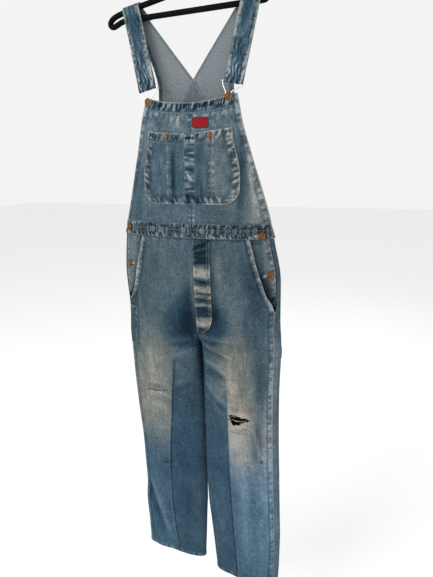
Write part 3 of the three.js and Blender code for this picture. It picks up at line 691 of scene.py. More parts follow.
def denim_finish():
    """Washed twill, indigo to pale by the piece's worn places and painted shade, with rust, smudges, painted shadow in
    a knee tear, threads and a paler inside.
    """
    tint = bpy.context.scene.overalls_tints
    shader = Shader("denim")
    fine = shader.noise(380.0, 4.0)
    cloud = shader.noise(90.0, 2.0)
    # Worn places and painted shade together, read from the fade attribute, with noise.
    wear_and_shade = shader.read("fade") + (fine - 0.5) * 0.75 + (cloud - 0.5) * 0.2
    steps = ((0.0, tint.indigo), (0.25, tint.deep), (0.5, tint.washed), (0.75, tint.sky), (1.0, tint.pale))
    families = []
    for hue in ((1.0, 1.0, 1.0), tint.cool, tint.warm):
        stops = [(place, [c * h for c, h in zip(step, hue)]) for place, step in steps]
        families.append(shader.node("ShaderNodeValToRGB", {"stops": stops}, {"Fac": wear_and_shade}))
    plain, cool, warm = families
    warmth = shader.read("warm")
    colour = shader.mix(0.0 - warmth, plain, cool)
    colour = shader.mix(warmth, colour, warm)
    reverse = shader.mix((fine - 0.5) * 2.2 + 0.5, rgba(tint.inside_dark), rgba(tint.inside))
    # The inside share is low on the trousers, which paints the shade inside the legs onto their inner faces.
    colour = shader.mix(shader.read("inside"), colour, reverse)
    colour = shader.mix(shader.read("rust"), colour, rgba(tint.rust))
    # Smudges, with the painted shadow of the knee tear.
    colour = shader.mix(shader.read("smudge"), colour, rgba(tint.smudge))
    colour = shader.mix(shader.read("white"), colour, rgba(tint.thread))
    place = shader.node("ShaderNodeTexCoord", output="Object")
    spot = shader.node("ShaderNodeTexVoronoi", None, {"Vector": place, "Scale": 52.0}, output="Distance")
    range_of = {"Value": shader.noise(7.0, 1.0), "From Min": 0.56, "From Max": 0.72}
    flung = shader.node("ShaderNodeMapRange", None, range_of)
    fleck = shader.node("ShaderNodeMapRange", None, {"Value": spot, "From Min": 0.10, "From Max": 0.05})
    colour = shader.mix(fleck * flung * 0.7, colour, rgba(tint.paint))
    weave = shader.noise(1500.0, 2.0)
    return shader.surface(
        colour, 0.95, bump=weave + fine * 1.5, strength=0.35, reach=0.0006, **{"Specular IOR Level": 0.12}
    )


def label_finish():
    """Red cloth with a dark turned edge."""
    tint = bpy.context.scene.overalls_tints
    shader = Shader("red_cloth")
    fine = shader.noise(700.0, 2.0)
    colour = shader.mix(fine, rgba(tint.label), rgba([c * 0.6 for c in tint.label]))
    colour = shader.mix(shader.read("smudge"), colour, rgba(tint.edging))
    return shader.surface(colour, 0.85, bump=fine, strength=0.3, **{"Specular IOR Level": 0.12})


def plain_finish(name, colour, roughness, metallic=0.0, grain_scale=300.0, spread=0.2, **constants):
    """One colour, lightly uneven, with a little grain."""
    shader = Shader(name)
    noise = shader.noise(grain_scale)
    dark, light = [c * (1 - spread) for c in colour], [min(1.0, c * (1 + spread)) for c in colour]
    shade = shader.node("ShaderNodeValToRGB", {"stops": ((0.3, dark), (0.7, light))}, {"Fac": noise})
    rough = noise * 0.2 + (roughness - 0.1)
    return shader.surface(shade, rough, metallic, bump=noise, strength=0.15, reach=0.0003, **constants)


FINISHES = {}


def finish(name):
    """The material of a record slot or thread, made once."""
    tint = bpy.context.scene.overalls_tints
    if name not in FINISHES:
        FINISHES[name] = {
            "denim": denim_finish,
            "red_cloth": label_finish,
            "copper": lambda: plain_finish("copper", tint.copper, 0.5, 1.0, 260.0, 0.5),
            "nickel": lambda: plain_finish("nickel", tint.nickel, 0.28, 1.0, 200.0, 0.15),
            "black_plastic": lambda: plain_finish(
                "black_plastic", tint.plastic, 0.6, 0.0, 120.0, 0.2, **{"Specular IOR Level": 0.04}),
            "thread": lambda: plain_finish("thread", tint.thread, 0.9, 0.0, 900.0, 0.3),
            "sewing": lambda: plain_finish("sewing", tint.sewing, 0.9, 0.0, 300.0, 0.45),
        }[name]()
    return FINISHES[name]


def to_frame(points):
    """Garment millimetres to the frame's metres."""
    return (np.asarray(points, float) - (0, 0, HANG_DROP)) / 1000


def mesh_object(name, points, faces, material, attributes=None, sharp=50.0):
    """A mesh object from arrays of points (in garment millimetres) and four-cornered faces."""
    mesh = bpy.data.meshes.new(name)
    faces = np.asarray(faces, np.int32)
    mesh.vertices.add(len(points))
    mesh.vertices.foreach_set("co", to_frame(points).astype(np.float32).ravel())
    mesh.loops.add(faces.size)
    mesh.loops.foreach_set("vertex_index", faces.ravel())
    mesh.polygons.add(len(faces))
    mesh.polygons.foreach_set("loop_start", np.arange(0, faces.size, faces.shape[1], dtype=np.int32))
    mesh.update(calc_edges=True)
    mesh.validate()
    for key, values in (attributes or {}).items():
        layer = mesh.attributes.new(key, "FLOAT", "POINT")
        layer.data.foreach_set("value", np.asarray(values, np.float32).ravel())
    mesh.shade_smooth()
    mesh.set_sharp_from_angle(angle=math.radians(sharp))
    mesh.materials.append(finish(material))
    piece = bpy.data.objects.new(name, mesh)
    bpy.context.scene.collection.objects.link(piece)
    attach(piece, "root")
    return piece


def grid_faces(rows, columns, offset=0, close_rows=False, close_columns=False):
    """Four-cornered faces of a grid, which may join up with itself."""
    i = np.arange(rows if close_rows else rows - 1)[:, None]
    j = np.arange(columns if close_columns else columns - 1)[None, :]
    i2, j2 = (i + 1) % rows, (j + 1) % columns
    corners = (i * columns + j, i * columns + j2, i2 * columns + j2, i2 * columns + j)
    return np.stack([np.broadcast_to(c, (i.size, j.size)) for c in corners], -1).reshape(-1, 4) + offset


def shell_faces(rows, columns, kept):
    """Faces of a wall made of two grids, with a rim round its edge and round each hole."""
    layer = rows * columns
    front = grid_faces(rows, columns)[kept.ravel()]
    back = front[:, ::-1] + layer
    padded = np.pad(kept, 1).astype(int)
    index = np.arange(layer).reshape(rows, columns)
    rims = []
    step = padded[1:, 1:-1] - padded[:-1, 1:-1]
    for sign in (1, -1):
        i, j = np.nonzero(step == sign)
        a, b = index[i, j], index[i, j + 1]
        rims.append(np.stack([a, a + layer, b + layer, b][:: 1 if sign > 0 else -1], -1))
    step = padded[1:-1, 1:] - padded[1:-1, :-1]
    for sign in (1, -1):
        i, j = np.nonzero(step == sign)
        a, b = index[i, j], index[i + 1, j]
        rims.append(np.stack([a, b, b + layer, a + layer][:: 1 if sign > 0 else -1], -1))
    return np.concatenate([front, back, *rims])


def cut_of(points):
    """Width, length and area of a grid of cloth laid flat, in metres."""
    across = np.linalg.norm(np.diff(points, axis=1), axis=-1)
    down = np.linalg.norm(np.diff(points, axis=0), axis=-1)
    a, b = points[1:, 1:] - points[:-1, :-1], points[1:, :-1] - points[:-1, 1:]
    area = 0.5 * np.linalg.norm(np.cross(a, b), axis=-1).sum() / 1e6
    width, length = across.sum(1).max() / 1000, down.sum(0).max() / 1000
    return (width, length), min(area, width * length)


def cloth(name, points, normals, fade, nodes, thick=None, outside=0.0, kept=None, material="denim", inside=0.85,
          **marks):
    """A piece of cloth: outer face, inner face one thickness behind it and a rim."""
    sizes = bpy.context.scene.overalls_cloth
    thick = sizes.cloth * 1000 if thick is None else thick
    rows, columns = points.shape[:2]
    kept = np.ones((rows - 1, columns - 1), bool) if kept is None else kept
    outer = points + normals * outside
    inner = outer - normals * thick
    faces = shell_faces(rows, columns, kept)
    first = outer[1:, 1:] - outer[:-1, :-1]
    second = outer[1:, :-1] - outer[:-1, 1:]
    if np.mean(np.sum(np.cross(first, second) * normals[:-1, :-1], -1)) > 0:
        faces = faces[:, ::-1]
    both = np.concatenate([outer.reshape(-1, 3), inner.reshape(-1, 3)])
    used, index = np.unique(faces, return_inverse=True)
    flat = np.ones((rows, columns))
    attributes = {"fade": np.tile(np.ravel(flat * fade), 2)}
    attributes["warm"] = np.tile(np.ravel(flat * np.clip(marks.get("warm", 0.0), -1, 1)), 2)
    attributes["inside"] = np.r_[np.zeros(flat.size), np.ravel(flat * inside)]
    for mark in ("rust", "smudge", "white"):
        values = np.ravel(flat * marks.get(mark, 0.0))
        attributes[mark] = np.clip(np.r_[values, 0 * values], 0, 1)
    attributes = {key: values[used] for key, values in attributes.items()}
    piece = mesh_object(name, both[used], index.reshape(faces.shape), material, attributes)
    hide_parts(*nodes)
    size, area = cut_of(points)
    return piece


def spaced(start, end, pitch):
    """Even heights from start to end, no further apart than the pitch."""
    return np.linspace(start, end, int(math.ceil(abs(end - start) / pitch)) + 1)


def pitch():
    """Spacing of the cloth's points in millimetres."""
    return bpy.context.scene.overalls_cloth.pitch * 1000


SIDES = ((-1, "left"), (1, "right"))


def outseam(side, z):
    """The outseam's place on the front."""
    return body["left" if side < 0 else "right"](z) - side * outseam_inset[side](z)


def front_outer(side, name):
    """Outer front panel: from the centre and mid-leg seams to the pocket edge and outseam."""
    z = spaced(-SEAM_GAP / 2, HEM, pitch())[:, None]
    u = np.linspace(0, 1, int(215 / pitch()))[None, :]
    seam = turn_at(side, leg_seam[side](z) + side * SEAM_GAP / 2, z)
    start = np.where(z > FORK, 0.0008 - fork(z), seam)
    sewn = outseam(side, z)
    slant = side * np.minimum(side * hip_opening[side](z), side * sewn)
    edge = np.where(z > OPENING_END, slant, sewn)
    end = turn_at(side, edge - side * SEAM_GAP / 2, z)
    share = 0.25
    nearer, farther = u / share, (u - share) / (1 - share)
    turn = np.where(u < share, lerp(start, STEADY_TURN, nearer), lerp(STEADY_TURN, end, farther))
    point, normal = skin(side, turn, z)
    x, zz = point[..., 0], np.broadcast_to(z, turn.shape)
    gape = 9 * smoothstep(-z, 15, 100) * (1 - smoothstep(-z, 135, 182)) * np.clip(u, 0, 1) ** 5
    from_edge, from_hem, from_waist = np.abs(edge - x), zz - HEM, -zz
    from_seam = np.where(zz < FORK, np.abs(x - leg_seam[side](z)), np.abs(x - CENTRE))
    in_pocket = smoothstep(zz, OPENING_END - 6, OPENING_END + 6)
    gathers = 0.9 * pucker(from_edge, zz, 15, 21 + side, 3.6) * (0.85 + 0.15 * in_pocket)
    gathers += 1.2 * pucker(from_hem, x, 17, 23 + side) + 0.25 * pucker(from_seam, zz, 7, 25 + side)
    gathers += 0.5 * pucker(from_waist, x, 9, 27 + side)
    felled = 0.9 * (1 - smoothstep(from_edge, 9, 12)) + 0.25 * (1 - smoothstep(from_seam, 6, 9)) * (zz < FORK)
    hem = 1.0 * (1 - smoothstep(from_hem, 12, 14))
    point = point + normal * (gape + felled + hem + 0.7 * gathers)[..., None]
    fade = front_fade_and_shade(x, zz) + 0.24 * gathers + 0.30 * worn_edge(from_hem, 2.5)
    fade += lerp(0.26 * worn_edge(from_edge, 2.6), 0.44 * worn_edge(from_edge, 6.0), in_pocket)
    low = smoothstep(-zz, 330, 360) if side < 0 else smoothstep(-zz, 500, 640)
    fade -= 0.2 * np.exp(-(((from_edge - 13) / 2.5) ** 2)) + 0.2 * np.exp(-((from_waist / 4) ** 2))
    fade -= 0.28 * low * np.exp(-((from_seam / 1.8) ** 2))
    smudge, white, kept = blots(x, zz, FRONT_SMUDGE), 0.0 * x, None
    if side > 0:
        kept, white = torn(x, zz)
    else:
        tear = np.array(KNEE_TEAR)
        off = zz - np.interp(x, tear[:, 0], tear[:, 1])
        inside = (x > tear[0, 0]) & (x < tear[-1, 0])
        lip = np.exp(-(((off + 2.5) / 2.5) ** 2)) * (0.12 + 0.2 * mottle(x / 7, zz / 4, 33))
        # Painted shadow: a dark line along the tear's opening, added to the smudges.
        gap = 1.1 * np.exp(-(((off - 1.0) / 2.6) ** 2)) * (0.8 + 0.4 * mottle(x / 9, 0, 35))
        white, smudge = np.where(inside, lip, 0), smudge + np.where(inside, gap, 0)
        point = point + normal * np.where(inside, 1.6 * np.exp(-(((off + 2.5) / 3.0) ** 2)), 0)[..., None]
    warm = front_warmth(x, zz) + (0.4 + 0.6 * in_pocket) * worn_edge(from_edge, 6)
    # Painted shade: inside=0.2 gives the inner face nearly the dark outer colour, for the shade inside the leg, which
    # is also seen through the knee rip.
    cloth("denim_front_outer_" + name, point, normal, fade, ["front_outer_" + name], kept=kept, warm=warm,
          inside=0.2, rust=blots(x, zz, FRONT_RUST), smudge=smudge, white=white)


def inside_polygon(x, z, corners):
    """Whether points lie inside an outline, by counting the sides that a level line crosses."""
    inside = np.zeros(x.shape, bool)
    for (x0, z0), (x1, z1) in zip(corners, corners[1:] + corners[:1]):
        if z0 != z1:
            inside ^= ((z0 > z) != (z1 > z)) & (x < (x1 - x0) * (z - z0) / (z1 - z0) + x0)
    return inside


def torn(x, z):
    """Faces that stay round the knee rip, and the white threads on its edge."""
    centre = np.mean(KNEE_RIP, axis=0)
    middle_x, middle_z = (x[1:, 1:] + x[:-1, :-1]) / 2, (z[1:, 1:] + z[:-1, :-1]) / 2
    grow = 0.92 + 0.1 * mottle(middle_x / 4, middle_z / 4, 51)
    grown_x, grown_z = centre[0] + (middle_x - centre[0]) * grow, centre[1] + (middle_z - centre[1]) * grow
    hole = inside_polygon(grown_x, grown_z, KNEE_RIP)
    wide = inside_polygon(centre[0] + (x - centre[0]) * 0.9, centre[1] + (z - centre[1]) * 0.8, KNEE_RIP)
    frayed = np.where(wide, 0.16 + 0.2 * mottle(x / 5, z / 3, 53), 0)
    return ~hole, frayed


def front_inner(side, name):
    """Inner leg panel, from the inseam to the mid-leg seam."""
    z = spaced(-299, HEM, pitch())[:, None]
    u = np.linspace(0, 1, int(120 / pitch()))[None, :]
    end = turn_at(side, leg_seam[side](z) - side * SEAM_GAP / 2, z)
    turn = lerp(0.02 - HALF_PI, end, u)
    point, normal = skin(side, turn, z)
    x, zz = point[..., 0], np.broadcast_to(z, turn.shape)
    from_seam, from_hem = np.abs(leg_seam[side](z) - x), zz - HEM
    gathers = 0.25 * pucker(from_seam, zz, 7, 31 + side) + 1.2 * pucker(from_hem, x, 17, 33 + side)
    hem = 1.0 * (1 - smoothstep(from_hem, 12, 14))
    point = point + normal * (0.7 * gathers + hem)[..., None]
    down = smoothstep(-zz, 330, 470) if side < 0 else smoothstep(-zz, 340, 490)
    fade = lerp(front_fade_and_shade(x, zz), front_fade_and_shade(x, zz, "inner"), down)
    fade = fade + 0.24 * gathers + 0.3 * worn_edge(from_hem, 2.5)
    low = smoothstep(-zz, 330, 360) if side < 0 else smoothstep(-zz, 500, 640)
    fade -= 0.28 * low * np.exp(-((from_seam / 1.8) ** 2))
    warm = lerp(front_warmth(x, zz), -0.5 - 0.3 * smoothstep(-zz, 420, 600), down)
    # Painted shade: inside=0.2 gives the inner face nearly the dark outer colour, for the shade inside the leg.
    cloth("denim_front_inner_" + name, point, normal, fade, ["front_inner_" + name], inside=0.2, warm=warm,
          smudge=blots(x, zz, FRONT_SMUDGE))


def back_leg(side, name):
    """Back half of the trousers, from the outseam to the centre seam and inseam."""
    z = spaced(-SEAM_GAP / 2, HEM, 1.5 * pitch())[:, None]
    u = np.linspace(0, 1, int(250 / (1.5 * pitch())))[None, :]
    start = turn_at(side, outseam(side, z) + side * SEAM_GAP / 2, z)
    steady = math.pi - STEADY_TURN
    end = math.pi + fork(z) - np.where(fork(z) > 0.01, 0.02, 0.0008)
    turn = np.where(u < 0.75, lerp(start, steady, u / 0.75), lerp(steady, end, (u - 0.75) / 0.25))
    point, normal = skin(side, turn, z)
    x, zz = point[..., 0], np.broadcast_to(z, turn.shape)
    from_hem, from_waist = zz - HEM, -zz
    from_centre = np.where(zz > FORK, np.abs(x - CENTRE), 60)
    gathers = 0.8 * pucker(from_hem, x, 17, 43 + side) + 0.5 * pucker(from_waist, x, 10, 45 + side)
    gathers += 0.5 * pucker(from_centre, zz, 10, 47)
    hem = 1.0 * (1 - smoothstep(from_hem, 12, 14))
    felled = 0.8 * (1 - smoothstep(from_centre, 8, 11)) * (side > 0)
    point = point + normal * (0.7 * gathers + hem + felled)[..., None]
    fade = back_fade(x, zz) + 0.24 * gathers
    fade = fade + 0.3 * worn_edge(from_hem, 2.5) + 0.12 * worn_edge(from_centre, 2)
    fade += 0.2 * np.exp(-(((x - outseam(side, z)) / 30) ** 2)) * smoothstep(-zz, 180, 300)
    # Painted shade: inside=0.2 gives the inner face nearly the dark outer colour, for the shade inside the leg.
    cloth("denim_back_leg_" + name, point, normal, fade, ["back_leg_" + name], inside=0.2,
          warm=-0.3 - 0.5 * smoothstep(-zz, 480, 700))


def hip_facing(side, name):
    """Facing behind the slanted pocket, set in under the front's edge."""
    sizes = bpy.context.scene.overalls_cloth
    z = spaced(-SEAM_GAP, FACING_END, pitch())[:, None]
    u = np.linspace(0, 1, int(90 / pitch()))[None, :]
    start = turn_at(side, hip_opening[side](z) - side * 20, z)
    end = turn_at(side, outseam(side, z) - side, z)
    point, normal = skin(side, lerp(start, end, u), z)
    x, zz = point[..., 0], np.broadcast_to(z, point.shape[:2])
    from_out, from_waist = np.abs(outseam(side, z) - x), -zz
    gathers = pucker(from_out, zz, 14, 61 + side) + 0.6 * pucker(from_waist, x, 16, 63 + side)
    # Painted shade: the facing is darkest under and beside the front's edge, brighter further into the opening, and
    # darker still low in the opening.
    shade = np.clip((side * (x - hip_opening[side](z))) / 26, 0, 1)
    fade = 0.30 + 0.34 * shade + 0.25 * gathers + grain(x, zz, 14) + 0.2 * worn_edge(from_out, 3)
    fade -= 0.3 * smoothstep(-zz, 70, 120) * (1 - smoothstep(shade, 0.3, 1))
    depth = -sizes.cloth * 1000 - LAYER
    cloth("denim_hip_facing_" + name, point + normal * (0.6 * gathers)[..., None], normal, fade,
          ["hip_facing_" + name], outside=depth, warm=0.3)


class OVERALLS_OT_trousers(bpy.types.Operator):
    """Front and back panels of the legs, with the knee rip and the pocket facings"""

    bl_idname = "overalls.trousers"
    bl_label = "Trousers"

    def execute(self, context):
        for side, name in SIDES:
            front_outer(side, name)
            front_inner(side, name)
            back_leg(side, name)
            hip_facing(side, name)
        return {"FINISHED"}


def bib_top(x):
    """Top edge of the bib, which sags between the buttons."""
    return BIB_TOP - BIB_SAG * np.maximum(0, 1 - ((x - CENTRE) / 112) ** 2)


def bib_half(side, name):
    """Bib panel, from the centre seam to the armhole edge."""
    u = np.sin(np.linspace(0, 1, int(190 / pitch()))[None, :] * HALF_PI)
    nominal = spaced(BIB_TOP, SEAM_GAP / 2, pitch())[:, None]
    out = body["left" if side < 0 else "right"](nominal)
    x = lerp(CENTRE + side * SEAM_GAP / 2, out, u)
    z = nominal - (BIB_TOP - bib_top(x)) * smoothstep(nominal, 150, BIB_TOP)
    point, normal = skin(side, np.minimum(turn_at(side, x, z), 1.52), z)
    x = point[..., 0]
    from_edge, from_centre = np.abs(out - x), np.abs(x - CENTRE)
    gathers = 0.9 * pucker(from_edge, z, 15, 71 + side) + 0.8 * pucker(from_centre, z, 10, 73)
    gathers += 0.8 * pucker(bib_top(x) - BIB_BAND - z, x, 20, 75, 3.6)
    felled = 0.9 * (1 - smoothstep(from_centre, 9, 11)) * (side > 0)
    folded = 0.8 * (1 - smoothstep(from_edge, 11, 13))
    point = point + normal * (felled + folded + 0.7 * gathers)[..., None]
    fade = front_fade_and_shade(x, z) + 0.26 * gathers
    fade = fade + 0.4 * worn_edge(from_edge, 2.2) + 0.1 * worn_edge(from_centre, 2)
    fade -= 0.14 * np.exp(-(((from_edge - 14) / 2.5) ** 2)) + 0.25 * np.exp(-((from_centre / 2.2) ** 2))
    fade += 0.16 * np.exp(-(((from_centre - 6) / 3) ** 2)) * (side > 0)
    fade += 0.13 * mottle(x / 6 + side * z / 13, z / 11, 77) * smoothstep(z, 240, 275)
    cloth("denim_bib_" + name, point, normal, fade, ["bib_" + name], rust=blots(x, z, FRONT_RUST),
          warm=front_warmth(x, z) + 0.4 * worn_edge(from_edge, 5))


def on_front(name, x, z, outside, fade, nodes, relief=0.0, thick=None, material="denim", **marks):
    """A piece sewn on the front: the front's own points, moved out."""
    point, normal = front_at(x, z)
    point = point + normal * np.asarray(relief)[..., None]
    lift = outside + (bpy.context.scene.overalls_cloth.cloth * 1000 if thick is None else thick)
    cloth(name, point, normal, fade, nodes, thick=thick, outside=lift, material=material, **marks)


def bib_band():
    """Turned band along the top of the bib, gathered by its stitches."""
    x, down = np.meshgrid(np.linspace(-111, 111, 210) + 1, np.linspace(0, BIB_BAND, 22))
    z = bib_top(x) - 0.5 - down
    gathers = 1.15 * pucker(down, x, 25, 81, 3.4)
    edges = 0.5 * worn_edge(down, 2.4) + 0.3 * worn_edge(BIB_BAND - down, 2.6)
    fade = 0.42 + 0.42 * gathers + edges + grain(x, z, 17)
    roll = 1.2 * np.exp(-((down / 3) ** 2))
    on_front("denim_bib_band", x, z, LAYER, fade, ["bib_band"], relief=gathers + roll, warm=-0.3 + edges)


def pocket_outline(v, share):
    """Place on the bib pocket: v down from its sagging mouth, share from -1 to 1 across."""
    nominal = lerp(POCKET_TOP, POCKET_BOTTOM, v)
    widen = smoothstep(-nominal, -POCKET_TOP, -POCKET_WIDE_AT)
    rise = np.clip(nominal - POCKET_BOTTOM, 0, POCKET_CORNER)
    cut = POCKET_CORNER - np.sqrt(np.maximum(POCKET_CORNER**2 - (POCKET_CORNER - rise) ** 2, 0))
    half = lerp(POCKET_TOP_HALF, POCKET_WIDE_HALF, widen) - cut
    drop = POCKET_SAG * (1 - share**2) * smoothstep(nominal, POCKET_WIDE_AT, POCKET_TOP)
    return POCKET_CENTRE + share * half, nominal - drop, half


def pocket_edge_distance(x, z):
    """Distance in from the pocket's sides, bottom and rounded corners."""
    widen = smoothstep(-z, -POCKET_TOP, -POCKET_WIDE_AT)
    side = lerp(POCKET_TOP_HALF, POCKET_WIDE_HALF, widen) - np.abs(x - POCKET_CENTRE)
    up = z - POCKET_BOTTOM
    corner = POCKET_CORNER - np.hypot(np.minimum(side - POCKET_CORNER, 0), np.minimum(up - POCKET_CORNER, 0))
    return np.where((side < POCKET_CORNER) & (up < POCKET_CORNER), corner, np.minimum(side, up))


def pocket_gape(x, mouth):
    """How far the pocket's mouth stands off, by the distance below its edge."""
    left = 6 * np.exp(-((mouth / 16) ** 2)) * np.exp(-(((x + 76) / 24) ** 2))
    return left + 4 * np.exp(-((mouth / 14) ** 2)) * np.exp(-(((x - 66) / 26) ** 2))


def bib_pocket():
    """Patch pocket on the bib, with its hemmed mouth, pen slots and gathered edge."""
    v = np.linspace(0, 1, 118)[:, None] ** 0.9
    share = np.linspace(-1, 1, 168)[None, :]
    x, z, _ = pocket_outline(v, share)
    x, z = np.broadcast_arrays(x, z)
    mouth = pocket_outline(0 * v, share)[1] - z
    edge = pocket_edge_distance(x, z)
    along = np.where(np.abs(x - POCKET_CENTRE) > 94, z, x)
    gathers = pucker(edge, along, 22, 91, 4.0) + 0.9 * pucker(mouth, x, 26, 93, 4.0)
    slots = [np.abs(x - line) for line in (-56.0, 59.0, -11.0, 17.0)]
    middle = np.clip(1 - smoothstep(np.abs(x - 3), 12, 15), 0, 1)
    rungs = middle * np.clip(2.2 * mottle(x / 30, z / 5.0, 95), -1, 1)
    gathers = gathers + 0.9 * rungs
    for k, slot in enumerate(slots[:2]):
        gathers = gathers + 0.5 * pucker(slot, z, 9, 97 + k)
    gape = pocket_gape(x, mouth)
    sink = sum(-0.5 * np.exp(-((slot / 1.5) ** 2)) for slot in slots)
    fade = 0.49 + 0.1 * smoothstep(x, 55, 70) + 0.34 * gathers
    fade = fade + grain(x, z, 19) + 0.1 * mottle(x / 8, z / 26, 96)
    fade += 0.42 * worn_edge(mouth, 2.6) + 0.36 * worn_edge(edge, 2.4)
    fade -= 0.12 * np.exp(-(((edge - 20) / 4) ** 2))
    fade += 0.16 * np.exp(-(((x - 62) / 4) ** 2)) + 0.12 * np.exp(-(((x + 59) / 4) ** 2))
    # Painted shade: a dark stripe down the trough at x -45, from about 200 mm high downwards.
    fade -= 0.30 * np.exp(-(((x + 45) / 7) ** 2)) * smoothstep(-z, -225, -190)
    fade -= 0.12 * np.exp(-(((x - 30) / 9) ** 2))
    warm = -0.3 + 0.6 * worn_edge(edge, 6) + 0.6 * worn_edge(mouth, 6) + 0.45 * smoothstep(x, 40, 80)
    on_front("denim_bib_pocket", x, z, POCKET_GAP, fade, ["bib_pocket"], relief=0.8 * gathers + gape + sink,
             rust=blots(x, z, FRONT_RUST), warm=warm)


def waistband(side, name):
    """Front waistband half, puckered by its three rows of stitches."""
    z = np.linspace(WAISTBAND_TOP, 0.6, 28)[:, None]
    turn = np.linspace(0.0015, 1.4, 230)[None, :]
    point, normal = skin(side, turn, z)
    x, zz = point[..., 0], np.broadcast_to(z, point.shape[:2])
    top, foot = WAISTBAND_TOP - zz, zz
    gathers = 0.9 * pucker(top, x, 15, 101 + side, 2.7) + 1.1 * pucker(foot, x, 15, 103 + side, 2.7)
    gathers += 0.9 * pucker(np.abs(zz - 21) + 1.2, x, 11, 105 + side, 2.7)
    fade = 0.38 + 0.40 * gathers + grain(x, zz, 23) + 0.3 * worn_edge(foot, 2) + 0.25 * worn_edge(top, 1.6)
    fade += 0.10 * smoothstep(np.abs(x), 150, 190) - 0.10 * np.exp(-(((zz - 30) / 4) ** 2))
    lift = LAYER + bpy.context.scene.overalls_cloth.cloth * 1000
    cloth("denim_waistband_" + name, point + normal * (0.9 * gathers)[..., None], normal, fade,
          ["waistband_" + name], outside=lift, warm=0.1)


def fly_edge(z):
    """Outer edge of the fly, which rounds in at its foot."""
    into = np.clip((FLY_BEND - z) / (FLY_BEND - FLY_BOTTOM), 0, 1)
    return FLY_END + (FLY_RIGHT - FLY_END) * np.sqrt(np.maximum(0, 1 - into**2))


# Wrinkles across the fly: height, slope, rise, breadth.
# Its worn pale blocks: height, half height, strength.
FLY_WRINKLES = (
    (-18, 0.5, -2.6, 5), (-34, 0.35, -2.4, 5), (-48, -0.2, -2.4, 4), (-60, 0.1, -2.8, 4), (-95, 0.0, 0.6, 6),
    (-110, -0.15, -2.0, 3), (-121, -0.2, -1.4, 3), (-143, 0.05, -1.6, 3), (-157, 0.0, -1.6, 3), (-166, 0.05, -1.2, 3),
    (-182, 0.15, -2.2, 4), (-193, 0.1, -2.0, 4), (-202, 0.2, -1.8, 4), (-246, -0.3, -1.6, 4),
)
FLY_PALE = ((-84, 17, 0.62), (-130, 11, 0.55), (-150, 6, 0.42), (-173, 8, 0.42), (-223, 17, 0.6))


def fly_placket():
    """The fly: a placket crumpled across by its buttons, rubbed pale between the wrinkles."""
    z = np.broadcast_to(np.linspace(FLY_TOP, FLY_BOTTOM, 130)[:, None], (130, 26))
    x = lerp(FLY_LEFT, fly_edge(z), np.linspace(0, 1, 26)[None, :])
    relief, fade, bare = np.zeros(z.shape), 0.22 + grain(x, z, 29), 0.0
    for height, slope, rise, broad in FLY_WRINKLES:
        away = (z - height - slope * (x - 30) - 2.2 * mottle(x / 14, height, 111)) / 0.7
        relief += rise * np.exp(-0.5 * (away / broad) ** 2) * (0.75 + 0.5 * mottle(x / 11, height, 113))
    for height, half, strength in FLY_PALE:
        block = np.exp(-np.abs((z - height - 1.5 * mottle(x / 12, height, 115)) / half) ** 3)
        fade, bare = fade + strength * block, bare + block
    crumple = mottle(x / 18 + z / 40, z / 4.5, 125)
    relief = relief + 0.7 * crumple
    gathers = 0.8 * pucker(fly_edge(z) - x, z, 12, 117) + 0.5 * pucker(x - FLY_LEFT, z, 10, 119)
    fade = fade + 0.19 * relief + 0.22 * gathers
    fade = fade + 0.3 * worn_edge(fly_edge(z) - x, 2) + 0.4 * worn_edge(x - FLY_LEFT, 2.6)
    rust = 0.35 * np.exp(-(((x - FLY_LEFT) / 3) ** 2)) * smoothstep(-z, 40, 90)
    on_front("denim_fly", x, z, LAYER + 2.2, fade, ["fly_placket"], warm=-0.3 + 1.2 * bare, rust=rust,
             relief=np.clip(relief, -4, 2) + 0.7 * gathers)


def label_patch():
    """Plain red cloth patch with rounded corners and a dark turned edge."""
    z = np.linspace(LABEL_TOP, LABEL_BOTTOM, 25)[:, None]
    rise = np.minimum(np.minimum(LABEL_TOP - z, z - LABEL_BOTTOM), LABEL_CORNER)
    cut = LABEL_CORNER - np.sqrt(LABEL_CORNER**2 - (LABEL_CORNER - rise) ** 2)
    x = lerp(LABEL_LEFT + cut, LABEL_RIGHT - cut, np.linspace(0, 1, 43)[None, :])
    zz = np.broadcast_to(z, x.shape)
    across, down = (LABEL_LEFT + LABEL_RIGHT) / 2, (LABEL_BOTTOM + LABEL_TOP) / 2
    half_wide, half_high = LABEL_RIGHT - across, LABEL_TOP - down
    crown = 0.6 * (1 - ((x - across) / half_wide) ** 2) * (1 - ((zz - down) / half_high) ** 2)
    near = np.minimum(half_wide - np.abs(x - across), half_high - np.abs(zz - down))
    on_front("red_label_patch", x, zz, LAYER + 0.4, 0.5, ["label_patch"], relief=crown, thick=0.8,
             material="red_cloth", smudge=1 - smoothstep(near, 1.6, 3.2))


def rule_pocket():
    """Narrow tool pocket beside one outseam."""
    z = np.linspace(RULE_TOP, RULE_BOTTOM, 48)[:, None]
    end = turn_at(-1, body["left"](np.array(-260.0)) + 9, np.array(-260.0))
    turn = np.linspace(0.98, end, 26)[None, :]
    point, normal = skin(-1, turn, z)
    x, zz = point[..., 0], np.broadcast_to(z, point.shape[:2])
    near = np.minimum(np.abs(x - x[:, :1]), np.minimum(RULE_TOP - zz, zz - RULE_BOTTOM))
    gathers = pucker(near, zz + x, 11, 121)
    fade = 0.40 + 0.3 * gathers + 0.3 * worn_edge(near, 2) + grain(x, zz, 31)
    lift = LAYER + bpy.context.scene.overalls_cloth.cloth * 1000
    shaped = point + normal * (0.7 * gathers)[..., None]
    cloth("denim_rule_pocket", shaped, normal, fade, ["rule_pocket"], outside=lift)


